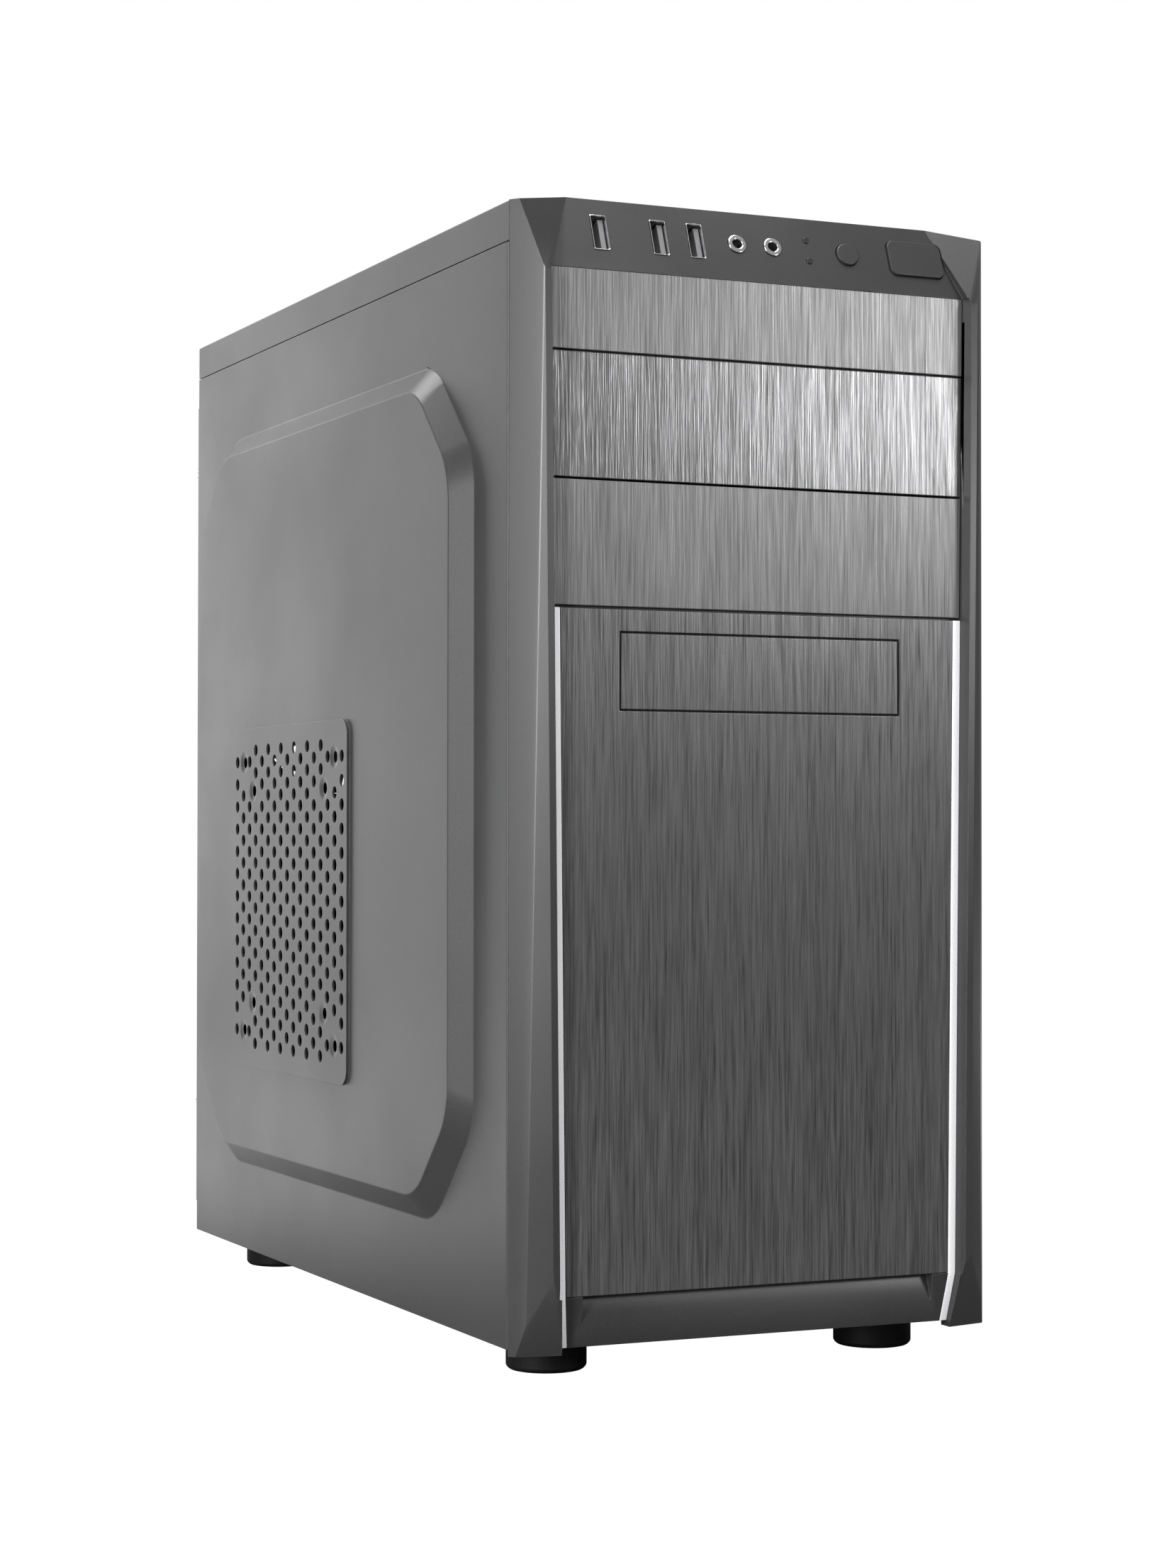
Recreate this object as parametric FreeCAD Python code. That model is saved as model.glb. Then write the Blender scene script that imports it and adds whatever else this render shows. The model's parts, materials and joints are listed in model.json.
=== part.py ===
import FreeCAD, Part
import math
import os

# A compact desktop computer tower: steel chassis, faceted plastic bezel and
# working insides.  Millimetres.  It is drawn with X = 0 on the centre plane,
# Y = 0 where the bezel meets the steel (front towards -Y) and Z = 0 under the
# steel body.  save() then stands it on its feet, origin at the bottom centre.

V = FreeCAD.Vector
os.makedirs("parts", exist_ok=True)

# ---- Driving dimensions: steel body ----
BODY_W = 177.0            # over the flat of both side panels
BODY_H = 370.0
BODY_D = 336.0
SHEET = 0.8               # every steel sheet
SIDE_GAP = 0.3            # side panel to chassis
ROOF_FOLD = 13.0          # roof folded down over each side
FLANGE = 12.0             # chassis flanges
PANEL_SLIT = 0.4          # side panel to roof fold
PANEL_FRONT = 1.0         # side panel to bezel

# ---- Side panels ----
EMBOSS = 6.3              # how far the raised field stands out
EMBOSS_SLOPE = 8.0        # width of its sloping border
EMBOSS_FRONT = 29.0
EMBOSS_REAR = 14.0        # from the rear edge
EMBOSS_LOW = 34.0
EMBOSS_TOP = 45.0         # below the roof
EMBOSS_CORNER = 35.0
VENT_Y = 198.0            # centre of the perforated field
VENT_Z = 141.0
VENT_PAD = 132.0
VENT_PAD_R = 6.0
VENT_RISE = 1.2
VENT_COLUMNS = 17
VENT_COLUMN_STEP = 7.6
VENT_ROW_STEP = 8.78
VENT_HOLE_R = 2.3
FAN_BOLT = 105.0          # screw square of a 120 mm fan
SMALL_FAN_BOLT = 82.5     # screw square of a 92 mm fan
FAN_HOLE_R = 2.15
DIMPLE_R = 4.6
PANEL_FLANGE = 11.0       # turned in over the rear panel

# ---- Bezel ----
BEZEL_OUT = 11.0          # ridge of the rails, ahead of the steel
INSERT_OUT = 6.5          # face of the brushed pieces, ahead of the steel
INSERT_T = 2.0
BEZEL_WALL = 2.5
BEZEL_DROP = 2.0          # rails hang this far below the steel
BEZEL_RISE = 3.0          # port face stands this far above the roof
INSERT_HALF = 73.7        # half width of the brushed field at Z = 0
TAPER = 0.01              # growth of that half width per millimetre of height
RIDGE_STEP = 1.05
RIDGE_W = 2.3
PORT_LEAN = 20.0          # degrees
PORT_BASE = BODY_H - 21.4             # foot of the leaning port face
TOP_STRIP_LOW = PORT_BASE - 26.8
BAY_PITCH = 41.4
CHIN_TOP = 16.5
CHIN_BACK = 3.0           # how far the chin falls back at its foot
CHIN_HALF = 72.1          # half width between the rails at the chin's foot
STRIP_W = 2.8
GRIP_HALF = 65.0          # finger recess under the brushed panel
GRIP_LOW = 7.5
GRIP_DEEP = 4.4
SMALL_BAY_HALF = 51.5
SMALL_BAY_LOW = TOP_STRIP_LOW - 2 * BAY_PITCH - 33.0
SMALL_BAY_H = 24.7
COVER_GAP = 0.6
FIT = 0.15                # glued or clipped pieces
ARM_END = 18.0            # spring arms of a bay cover reach this far back
COVER_TRAVEL = ARM_END + 4.0
LIP = 9.0                 # bezel laps this far over the roof
LIP_GAP = 0.2
ROOF_NOTCH = 6.3          # roof cut back behind the port face
PORT_WALL_HALF = 74.4     # half width of the bezel behind the port face
HOOK_Z = (45.0, 185.0, BODY_H - 45.0)
HOOK_X = 81.5
HOOK_W = 8.0              # snap hooks into the steel front frame

# ---- Ports and buttons, across X and up the port face ----
USB_X = (-57.2, -35.7, -22.3)
USB_S = 13.7
USB_SLOT = 5.1
USB_LONG = 12.2
USB_WALL = 0.35
USB_DEEP = 12.0
JACK_X = (-7.1, 6.2)
JACK_S = 13.9
JACK_R = 3.3
JACK_BORE = 1.75
LAMP_X = 19.6
LAMP_S = (9.9, 17.7)
LAMP_R = 1.1
RESET_X = 34.5
RESET_S = 13.5
RESET_R = 4.0
RESET_TRAVEL = 1.0
POWER_X = 60.9
POWER_S = 13.75
POWER_W = 20.6
POWER_H = 13.0
POWER_R = 2.6
POWER_TRAVEL = 1.5
BUTTON_GAP = 0.3
BUTTON_PROUD = 0.9

# ---- Feet ----
FOOT_H = 12.0
FOOT_R = 13.5
FOOT_X = 62.0
FOOT_FRONT = 30.0
FOOT_REAR = 30.0          # from the rear edge

# ---- Insides ----
PSU_W = 150.0
PSU_H = 86.0
PSU_D = 140.0
BOARD_H = 244.0
BOARD_D = 205.0
BOARD_T = 1.6
BOARD_LOW = 33.0
BOARD_REAR = 9.0          # board edge to the rear panel
STANDOFF = 6.5
TRAY_X = 74.0             # component side of the tray
CAGE_D = 115.0
DRIVE_W = 101.6
DRIVE_H = 26.1
DRIVE_L = 147.0
DRIVE_LOW = 62.0
SLOT_STEP = 20.32
SLOTS = 4
REAR_FAN = 92.0
CPU_FAN = 80.0
PSU_FAN = 120.0
FAN_T = 25.0
SHAFT_R = 1.5
RUN_FIT = 0.06
SCREW_R = 1.5
SCREW_FIT = 0.06
THUMB_R = 5.0
THUMB_L = 7.2
THUMB_Z = (52.0, BODY_H - 52.0)

# ---- Worked out from the above ----
HALF_W = BODY_W / 2
PANEL_IN = HALF_W - SHEET             # inner face of a side panel
CHASSIS = PANEL_IN - SIDE_GAP         # outer face of the chassis
ROOF = BODY_H - SHEET                 # underside of the roof
FOLD_Z = BODY_H - ROOF_FOLD
REAR_IN = BODY_D - SHEET
REAR_OUT = SHEET + THUMB_L
BAY_LOW = TOP_STRIP_LOW - 2 * BAY_PITCH
FLOOR_Y = INSERT_T - INSERT_OUT       # bezel wall behind the brushed pieces
CENTRE_Y = (BODY_D + REAR_OUT - BEZEL_OUT) / 2
SMALL_BAY_TOP = SMALL_BAY_LOW + SMALL_BAY_H
PLACE = V(0, -CENTRE_Y, FOOT_H)
PORT_FACE = FreeCAD.Placement(V(0, -INSERT_OUT, PORT_BASE),
                              FreeCAD.Rotation(V(1, 0, 0), 90 - PORT_LEAN))
REACH = 600.0


# ---- Small modelling helpers ----
def block(x0, x1, y0, y1, z0, z1):
    return Part.makeBox(x1 - x0, y1 - y0, z1 - z0, V(x0, y0, z0))


def rod(radius, start, end):
    start, end = V(*start), V(*end)
    return Part.makeCylinder(radius, (end - start).Length, start, end - start)


def prism(points, along):
    # closed outline of points, pushed along a vector
    corners = [V(*p) for p in points]
    return Part.Face(Part.makePolygon(corners + corners[:1])).extrude(V(*along))


def rounded(width, height, radius, low, high):
    # plate with rounded corners, centred on the local Z axis
    plate = block(-width / 2, width / 2, -height / 2, height / 2, low, high)
    upright = [e for e in plate.Edges
               if abs(e.Vertexes[0].Z - e.Vertexes[1].Z) > (high - low) / 2]
    return plate.makeFillet(radius, upright)


def beyond(point, normal):
    # all that lies past a plane, on the side its normal points to
    mass = Part.makeBox(REACH, REACH, REACH, V(-REACH / 2, -REACH / 2, 0))
    mass.Placement = FreeCAD.Placement(V(*point), FreeCAD.Rotation(V(0, 0, 1), V(*normal)))
    return mass


def past_corners(a, b, c):
    # all that lies past the plane of three corners, on its front (-Y) side
    normal = (V(*b) - V(*a)).cross(V(*c) - V(*a))
    if normal.y > 0:
        normal = normal * -1
    return beyond(a, (normal.x, normal.y, normal.z))


def fuse(first, *rest):
    return first.multiFuse(list(rest)).removeSplitter() if rest else first


def group(shapes):
    return Part.makeCompound(list(shapes))


def mirrored(shape):
    return shape.mirror(V(0, 0, 0), V(1, 0, 0))


def moved(shape, x=0.0, y=0.0, z=0.0):
    copy = shape.copy()
    copy.translate(V(x, y, z))
    return copy


def on_port_face(shape, x=0.0, s=0.0):
    # local X across, local Y up the leaning face, local Z out of it
    copy = moved(shape, x, s)
    copy.Placement = PORT_FACE.multiply(copy.Placement)
    return copy


def save(name, shape):
    placed = shape.copy()
    placed.translate(PLACE)
    placed.exportStep("parts/" + name + ".step")
    print(name, len(placed.Solids), placed.isValid(), round(placed.Volume))


# ---- Bezel shape by height ----
def field_half(z):
    # half width of the brushed field between the rails
    return INSERT_HALF + TAPER * z


def ridge_in(z):
    return field_half(z) + RIDGE_STEP


def ridge_out(z):
    return ridge_in(z) + RIDGE_W


def field(low, high, inset, front, back):
    # slab of the tapering brushed field between two heights
    a = field_half(low) - inset
    b = field_half(high) - inset
    outline = [(-a, front, low), (a, front, low), (b, front, high), (-b, front, high)]
    return prism(outline, (0, back - front, 0))


TOP_Z = BODY_H + BEZEL_RISE
PORT_TOP_Y = -INSERT_OUT + (TOP_Z - PORT_BASE) * math.tan(math.radians(PORT_LEAN))
FACET_TOP_X = HALF_W - 21.0           # inner end of a top facet
FACET_SIDE_X = HALF_W - 2.2           # outer end of a top facet
FACET_LOW = PORT_BASE - 1.6           # where a top facet leaves the ridge
FOOT_FACET = 22.9                     # where a bottom facet leaves the ridge


def bezel_outside():
    low = -BEZEL_DROP
    out = ridge_out(TOP_Z)
    lip = LIP
    plan = [(-HALF_W, lip, low), (-HALF_W, 0, low), (-out, -BEZEL_OUT, low),
            (out, -BEZEL_OUT, low), (HALF_W, 0, low), (HALF_W, lip, low)]
    body = prism(plan, (0, 0, TOP_Z - low))
    front = -BEZEL_OUT - 1
    roof = [(-HALF_W - 1, front, low - 1), (HALF_W + 1, front, low - 1), (HALF_W + 1, front, BODY_H),
            (FACET_SIDE_X, front, BODY_H), (FACET_TOP_X, front, TOP_Z), (-FACET_TOP_X, front, TOP_Z),
            (-FACET_SIDE_X, front, BODY_H), (-HALF_W - 1, front, BODY_H)]
    body = body.common(prism(roof, (0, REACH, 0)))
    under = BODY_H + LIP_GAP
    body = body.cut(block(-REACH, REACH, 0, lip + 1, low - 1, PORT_BASE - 5))
    body = body.cut(block(-REACH, REACH, ROOF_NOTCH - SIDE_GAP, lip + 1, PORT_BASE - 6, under))
    for x0, x1 in ((-REACH, -PORT_WALL_HALF), (PORT_WALL_HALF, REACH)):
        body = body.cut(block(x0, x1, 0, lip + 1, PORT_BASE - 6, under))
    for side in (-1, 1):
        tip = side * (HALF_W - 7.0)
        edge = side * (HALF_W + 5)
        body = body.cut(block(min(tip, edge), max(tip, edge), 0, lip + 1, BODY_H, TOP_Z + 1))
    return body


def crease_cut():
    # lower plane of a rail's flank: it leaves the ridge line and meets the
    # upper plane halfway down the flank at the foot
    low = -BEZEL_DROP
    half_x = (HALF_W + ridge_out(TOP_Z)) / 2
    return past_corners((ridge_out(low), -BEZEL_OUT, low), (ridge_out(TOP_Z), -BEZEL_OUT, TOP_Z),
                        (half_x, -BEZEL_OUT / 2, low))


def top_facet():
    flank = -BEZEL_OUT * (HALF_W - FACET_SIDE_X) / (HALF_W - ridge_out(TOP_Z))
    past = past_corners((FACET_SIDE_X, flank, BODY_H), (FACET_TOP_X, PORT_TOP_Y, TOP_Z),
                        (ridge_out(FACET_LOW), -BEZEL_OUT, FACET_LOW))
    foot = field_half(PORT_BASE)
    front = -BEZEL_OUT - 1
    zone = [(foot, front, PORT_BASE), (foot + RIDGE_STEP, front, FACET_LOW - 3), (HALF_W + 5, front, FACET_LOW - 3),
            (HALF_W + 5, front, TOP_Z + 2), (FACET_TOP_X, front, TOP_Z + 2), (FACET_TOP_X, front, TOP_Z)]
    return past.common(prism(zone, (0, BEZEL_OUT + 15, 0)))


def bottom_facet():
    low = -BEZEL_DROP
    return past_corners((ridge_out(FOOT_FACET), -BEZEL_OUT, FOOT_FACET),
                        (HALF_W - 3.0, -2.6, low), (CHIN_HALF, -5.6, low))


def port_recess():
    # space in front of the leaning port face, between the facets
    high = (TOP_Z - PORT_BASE) / math.cos(math.radians(PORT_LEAN))
    foot = field_half(PORT_BASE)
    shape = prism([(-foot, -5, 0), (foot, -5, 0), (foot, 0, 0), (FACET_TOP_X, high, 0), (FACET_TOP_X, high + 5, 0),
                   (-FACET_TOP_X, high + 5, 0), (-FACET_TOP_X, high, 0), (-foot, 0, 0)], (0, 0, 40))
    return on_port_face(shape)


def channel():
    # front space between the ridges, then the seat of the brushed pieces
    def outline(y, side, low, high):
        a = field_half(low) + side
        b = field_half(high) + side
        return Part.makePolygon([V(-a, y, low), V(a, y, low), V(b, y, high), V(-b, y, high), V(-a, y, low)])
    low = CHIN_TOP
    front = Part.makeLoft([outline(-INSERT_OUT, 0, low, PORT_BASE),
                           outline(-BEZEL_OUT, RIDGE_STEP, low, PORT_BASE)], True, True)
    front = front.multiFuse([field(low, PORT_BASE, -RIDGE_STEP, -BEZEL_OUT - 5, -BEZEL_OUT)])
    seat = field(low, PORT_BASE, 0, -INSERT_OUT, FLOOR_Y)
    return fuse(front, seat)


def chin_y(z):
    return -INSERT_OUT + CHIN_BACK * (CHIN_TOP - z) / CHIN_TOP


def chin_cut():
    # clears the front of the chin down to its sloping face
    foot = field_half(CHIN_TOP)
    low = -BEZEL_DROP - 1
    front = -BEZEL_OUT - 1
    zone = prism([(-foot, front, CHIN_TOP), (foot, front, CHIN_TOP), (CHIN_HALF, front, 0), (CHIN_HALF, front, low),
                  (-CHIN_HALF, front, low), (-CHIN_HALF, front, 0)], (0, 20, 0))
    past = past_corners((-1, -INSERT_OUT, CHIN_TOP), (1, -INSERT_OUT, CHIN_TOP), (0, chin_y(0), 0))
    under = block(-CHIN_HALF, CHIN_HALF, -20, 0, low, 0)
    return fuse(zone.common(past), under)


def grip():
    # finger recess, deepest right under the brushed panel
    outline = [(-GRIP_HALF, chin_y(GRIP_LOW) - 3, GRIP_LOW), (-GRIP_HALF, chin_y(GRIP_LOW), GRIP_LOW),
               (-GRIP_HALF, GRIP_DEEP - INSERT_OUT, CHIN_TOP), (-GRIP_HALF, -INSERT_OUT - 3, CHIN_TOP)]
    return prism(outline, (2 * GRIP_HALF, 0, 0))


def strip(side):
    # pale strip beside the lower brushed panel, following the chin's slope
    def slice_at(z, outer, face):
        a = side * outer
        b = side * (outer - STRIP_W)
        return Part.makePolygon([V(a, face, z), V(b, face, z), V(b, face + INSERT_T, z),
                                 V(a, face + INSERT_T, z), V(a, face, z)])
    upper = Part.makeLoft([slice_at(BAY_LOW - COVER_GAP, field_half(BAY_LOW - COVER_GAP), -INSERT_OUT),
                           slice_at(CHIN_TOP, field_half(CHIN_TOP), -INSERT_OUT)], True, True)
    lower = Part.makeLoft([slice_at(CHIN_TOP, field_half(CHIN_TOP), -INSERT_OUT),
                           slice_at(0, CHIN_HALF, chin_y(0))], True, True)
    return fuse(upper, lower)


# ---- Ports and buttons seen from the port face ----
def usb_outer(low, high, grow=0.0):
    width = USB_SLOT + 2 * USB_WALL + 2 * grow
    height = USB_LONG + 2 * USB_WALL + 2 * grow
    return rounded(width, height, 0.6 + grow, low, high)


def power_cap(low, high, grow=0.0):
    return rounded(POWER_W + 2 * grow, POWER_H + 2 * grow, POWER_R + grow, low, high)


def face_rod(radius, low, high):
    return rod(radius, (0, 0, low), (0, 0, high))


def port_holes():
    deep = -BEZEL_WALL - 1
    holes = [on_port_face(usb_outer(deep, 2, FIT), x, USB_S) for x in USB_X]
    holes += [on_port_face(face_rod(JACK_R + FIT, deep, 2), x, JACK_S) for x in JACK_X]
    holes += [on_port_face(face_rod(LAMP_R + 0.1, deep, 2), LAMP_X, s) for s in LAMP_S]
    holes.append(on_port_face(face_rod(RESET_R + BUTTON_GAP, deep, 2), RESET_X, RESET_S))
    holes.append(on_port_face(power_cap(deep, 2, BUTTON_GAP), POWER_X, POWER_S))
    return holes


BOARD_FACE = -USB_DEEP                # front port board, along the port face's normal
PORT_BOARD_T = 1.6
FLANGE_TOP = -BEZEL_WALL - 0.1        # button flanges rest behind the bezel wall
FLANGE_T = 1.0
SWITCH_TOP = -8.5
PLUNGER_R = 1.75


def front_bezel():
    body = bezel_outside()
    for cut in (crease_cut(), top_facet(), bottom_facet()):
        body = body.cut(cut).cut(mirrored(cut))
    body = body.cut(port_recess()).cut(channel()).cut(chin_cut()).cut(grip())
    body = body.cut(strip(1)).cut(strip(-1))
    hollow = FLOOR_Y + BEZEL_WALL
    low = CHIN_TOP + 6
    body = body.cut(block(-CHIN_HALF, CHIN_HALF, hollow, 1, low, PORT_BASE - 6))
    half = PORT_WALL_HALF - 1.2
    behind = block(-half, half, 1.5, 23.2, -30, -BEZEL_WALL)
    body = body.cut(on_port_face(behind))
    for side in (-1, 1):
        rail = [(side * (ridge_in(0) + 1.5), 1, low), (side * (ridge_in(0) + 2.0), -BEZEL_OUT + 3.5, low),
                (side * (ridge_out(0) + 0.5), -BEZEL_OUT + 3.5, low), (side * (HALF_W - 3.5), 1, low)]
        body = body.cut(prism(rail, (0, 0, PORT_BASE - low - 8)))
    bay = field_half(BAY_LOW) - 2.2
    body = body.cut(block(-bay, bay, -20, 1, BAY_LOW + 1.5, TOP_STRIP_LOW - 1.5))
    small = SMALL_BAY_HALF - 1.2
    body = body.cut(block(-small, small, -20, 1, SMALL_BAY_LOW + 1.2, SMALL_BAY_TOP - 1.2))
    for hole in port_holes():
        body = body.cut(hole)
    for side in (-1, 1):
        for z in HOOK_Z:
            body = fuse(body, bezel_hook(side, z))
    return body


def bezel_hook(side, z):
    # springy snap hook that reaches through the steel front frame
    inner = side * (HOOK_X - 1.0)
    outer = side * (HOOK_X + 1.0)
    barb = side * (HOOK_X - 2.2)
    back = 8.0
    outline = [(outer, -6.0, z), (outer, back, z), (inner, back, z), (barb, back - 3.5, z), (barb, SHEET + 0.3, z),
               (inner, SHEET + 0.3, z), (inner, -6.0, z)]
    return prism(outline, (0, 0, HOOK_W))


def brushed_front_panel():
    body = field(CHIN_TOP + FIT, BAY_LOW - COVER_GAP, STRIP_W + FIT, -INSERT_OUT, FLOOR_Y)
    half = SMALL_BAY_HALF + COVER_GAP
    gap = COVER_GAP
    return body.cut(block(-half, half, -20, 0, SMALL_BAY_LOW - gap, SMALL_BAY_TOP + gap))


def bay_cover(low):
    # snap-in cover: brushed face, two long spring arms and a stiffening rib
    gap = COVER_GAP / 2
    body = field(low + gap, low + BAY_PITCH - gap, BUTTON_GAP, -INSERT_OUT, FLOOR_Y)
    reach = field_half(BAY_LOW) - 2.5
    mid = low + BAY_PITCH / 2
    for side in (-1, 1):
        a = side * reach
        b = side * (reach - 1.6)
        arm = [(a, FLOOR_Y, mid), (a, ARM_END - 6, mid), (b, ARM_END, mid), (side * (reach - 2.4), ARM_END, mid),
               (b, FLOOR_Y, mid)]
        body = fuse(body, moved(prism(arm, (0, 0, 20.0)), 0, 0, -10.0))
    rib = block(-reach + 4, reach - 4, FLOOR_Y, FLOOR_Y + 2.5, mid - 0.8, mid + 0.8)
    return fuse(body, rib)


def small_bay_cover():
    body = block(-SMALL_BAY_HALF, SMALL_BAY_HALF, -INSERT_OUT, FLOOR_Y, SMALL_BAY_LOW, SMALL_BAY_TOP)
    reach = SMALL_BAY_HALF - 1.5
    mid = (SMALL_BAY_LOW + SMALL_BAY_TOP) / 2
    for side in (-1, 1):
        a = side * reach
        b = side * (reach - 1.6)
        arm = [(a, FLOOR_Y, mid), (a, ARM_END - 6, mid), (b, ARM_END, mid), (side * (reach - 2.4), ARM_END, mid),
               (b, FLOOR_Y, mid)]
        body = fuse(body, moved(prism(arm, (0, 0, 12.0)), 0, 0, -6.0))
    return body


def stem_end(travel):
    # a button's stem stops short of its switch when it is pressed
    return SWITCH_TOP + travel + 0.5


def power_button():
    cap = power_cap(FLANGE_TOP - FLANGE_T, BUTTON_PROUD)
    flange = power_cap(FLANGE_TOP - FLANGE_T, FLANGE_TOP, 1.2)
    stem = face_rod(2.2, stem_end(POWER_TRAVEL), FLANGE_TOP)
    return on_port_face(fuse(cap, flange, stem), POWER_X, POWER_S)


def reset_button():
    cap = face_rod(RESET_R, FLANGE_TOP - FLANGE_T, BUTTON_PROUD)
    flange = face_rod(RESET_R + 1.3, FLANGE_TOP - FLANGE_T, FLANGE_TOP)
    stem = face_rod(2.2, stem_end(RESET_TRAVEL), FLANGE_TOP)
    return on_port_face(fuse(cap, flange, stem), RESET_X, RESET_S)


def plunger(x, s, travel):
    # push pin between a button's stem and its switch
    return on_port_face(face_rod(PLUNGER_R, SWITCH_TOP - 0.8, stem_end(travel)), x, s)


def front_switches():
    shapes = []
    for x, s in ((POWER_X, POWER_S), (RESET_X, RESET_S)):
        body = rounded(7.0, 7.0, 0.5, BOARD_FACE, SWITCH_TOP)
        bore = face_rod(PLUNGER_R + 0.08, BOARD_FACE + 0.6, SWITCH_TOP + 1)
        shapes.append(on_port_face(body.cut(bore), x, s))
    return group(shapes)


def usb_port_shells():
    shapes = []
    for x in USB_X:
        shell = usb_outer(BOARD_FACE, 0.3)
        shell = shell.cut(rounded(USB_SLOT, USB_LONG, 0.4, BOARD_FACE - 1, 1))
        shapes.append(on_port_face(shell, x, USB_S))
    return group(shapes)


def usb_port_tongues():
    shapes = []
    for x in USB_X:
        base = block(-USB_SLOT / 2 + 0.02, USB_SLOT / 2 - 0.02, -USB_LONG / 2 + 0.02, USB_LONG / 2 - 0.02,
                     BOARD_FACE, BOARD_FACE + 2.5)
        base = base.makeFillet(0.4, [e for e in base.Edges if abs(e.Vertexes[0].Z - e.Vertexes[1].Z) > 1])
        tongue = block(0.4, 2.2, -5.5, 5.5, BOARD_FACE + 2.5, -1.2)
        shapes.append(on_port_face(fuse(base, tongue), x, USB_S))
    return group(shapes)


def audio_jacks():
    shapes = []
    for x in JACK_X:
        barrel = face_rod(JACK_R, BOARD_FACE, 0.6)
        barrel = barrel.cut(face_rod(JACK_BORE, BOARD_FACE + 1.0, 1))
        shapes.append(on_port_face(barrel, x, JACK_S))
    return group(shapes)


def lamp_pipes():
    return group([on_port_face(face_rod(LAMP_R, BOARD_FACE, 0.3), LAMP_X, s) for s in LAMP_S])


def front_port_board():
    left = USB_X[0] - 8.0
    right = POWER_X + POWER_W / 2
    low = BOARD_FACE - PORT_BOARD_T
    body = block(left, right, 3.5, 21.5, low, BOARD_FACE)
    socket = block(-30, -12, 8, 14, low - 7, low)
    return on_port_face(fuse(body, socket))


# ---- Places inside the case ----
PSU_TOP = ROOF - 1.0
PSU_LOW = PSU_TOP - PSU_H
PSU_FRONT = REAR_IN - PSU_D
BOARD_TOP = BOARD_LOW + BOARD_H
BOARD_Y1 = REAR_IN - BOARD_REAR
BOARD_Y0 = BOARD_Y1 - BOARD_D
BOARD_X = TRAY_X - STANDOFF           # solder side of the board
BOARD_IN = BOARD_X - BOARD_T          # component side of the board
BOARD_HOLES = [(y, z) for y in (BOARD_Y1 - 16.0, BOARD_Y1 - 165.0)
               for z in (BOARD_TOP - 10.0, BOARD_TOP - 165.0, BOARD_LOW + 10.0)]
CPU_Y = BOARD_Y1 - 95.0
CPU_Z = BOARD_TOP - 75.0
SLOT_LOW = BOARD_LOW + 4.0            # lowest expansion slot
SLOT_W = 15.0
SLOT_X0 = -44.0                       # slot openings in the rear panel
SLOT_X1 = 62.0
IO_W = 44.45                          # rear connector opening
IO_H = 158.75
IO_X1 = BOARD_IN + 2.5
IO_X0 = IO_X1 - IO_W
IO_LOW = SLOT_LOW + SLOTS * SLOT_STEP + 1.0
FAN_X = (IO_X0 - CHASSIS) / 2 + 0.5   # rear fan, beside the connectors
FAN_Z = PSU_LOW - REAR_FAN / 2 - 10.0
OPTICAL_IN = field_half(BAY_LOW) - 1.2
OPTICAL_LOW = BAY_LOW - 2.2
DRIVE_IN = DRIVE_W / 2 + 0.3
HOLE_FIT = SCREW_R + SCREW_FIT
PSU_SCREWS = [(69.0, PSU_LOW + 6.0), (69.0, PSU_TOP - 16.0), (-69.0, PSU_TOP - 6.0), (-69.0, PSU_LOW + 6.0)]
DRIVE_SCREWS = [(y, DRIVE_LOW + 6.35) for y in (32.0, 92.0)]


def foot_places():
    return [(x, y) for x in (-FOOT_X, FOOT_X) for y in (FOOT_FRONT, BODY_D - FOOT_REAR)]


def slot_z(i):
    return SLOT_LOW + SLOT_STEP * (i + 0.5)


def thumb_places(side):
    return [(side * (PANEL_IN - PANEL_FLANGE / 2), z) for z in THUMB_Z]


def base_pan():
    body = block(-CHASSIS, CHASSIS, 0, BODY_D, 0, SHEET)
    for side in (-1, 1):
        a = side * CHASSIS
        b = side * (CHASSIS - SHEET)
        body = fuse(body, block(min(a, b), max(a, b), SHEET, REAR_IN, SHEET, SHEET + FLANGE))
    for x, y in foot_places():
        body = body.cut(rod(HOLE_FIT, (x, y, -1), (x, y, SHEET + 1)))
    return body


def side_returns(y0, y1):
    # vertical return flanges that back the side panels
    shapes = []
    for side in (-1, 1):
        a = side * CHASSIS
        b = side * (CHASSIS - SHEET)
        shapes.append(block(min(a, b), max(a, b), y0, y1, SHEET + FLANGE, ROOF))
    return shapes


def port_notch(depth):
    # opening in the steel behind the port face
    half = PORT_WALL_HALF + SIDE_GAP
    return block(-half, half, -1, depth, PORT_BASE - 6, BODY_H + 1)


def front_frame():
    body = block(-CHASSIS, CHASSIS, 0, SHEET, SHEET, ROOF)
    body = fuse(body, *side_returns(SHEET, SHEET + FLANGE))
    reach = OPTICAL_IN
    body = body.cut(block(-reach, reach, -1, 2, BAY_LOW, TOP_STRIP_LOW))
    small = DRIVE_IN
    body = body.cut(block(-small, small, -1, 2, SMALL_BAY_LOW, SMALL_BAY_TOP))
    body = body.cut(port_notch(2))
    # intake holes behind the bezel
    holes = []
    for i in range(-4, 5):
        for j in range(7):
            holes.append(rod(4.0, (i * 12.0, -1, 50.0 + j * 12.0), (i * 12.0, 2, 50.0 + j * 12.0)))
    body = body.cut(group(holes))
    for side in (-1, 1):
        for z in HOOK_Z:
            a = side * (HOOK_X - 3.0)
            b = side * (HOOK_X + 1.3)
            body = body.cut(block(min(a, b), max(a, b), -1, 2, z - 0.3, z + HOOK_W + 0.3))
    return body


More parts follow.
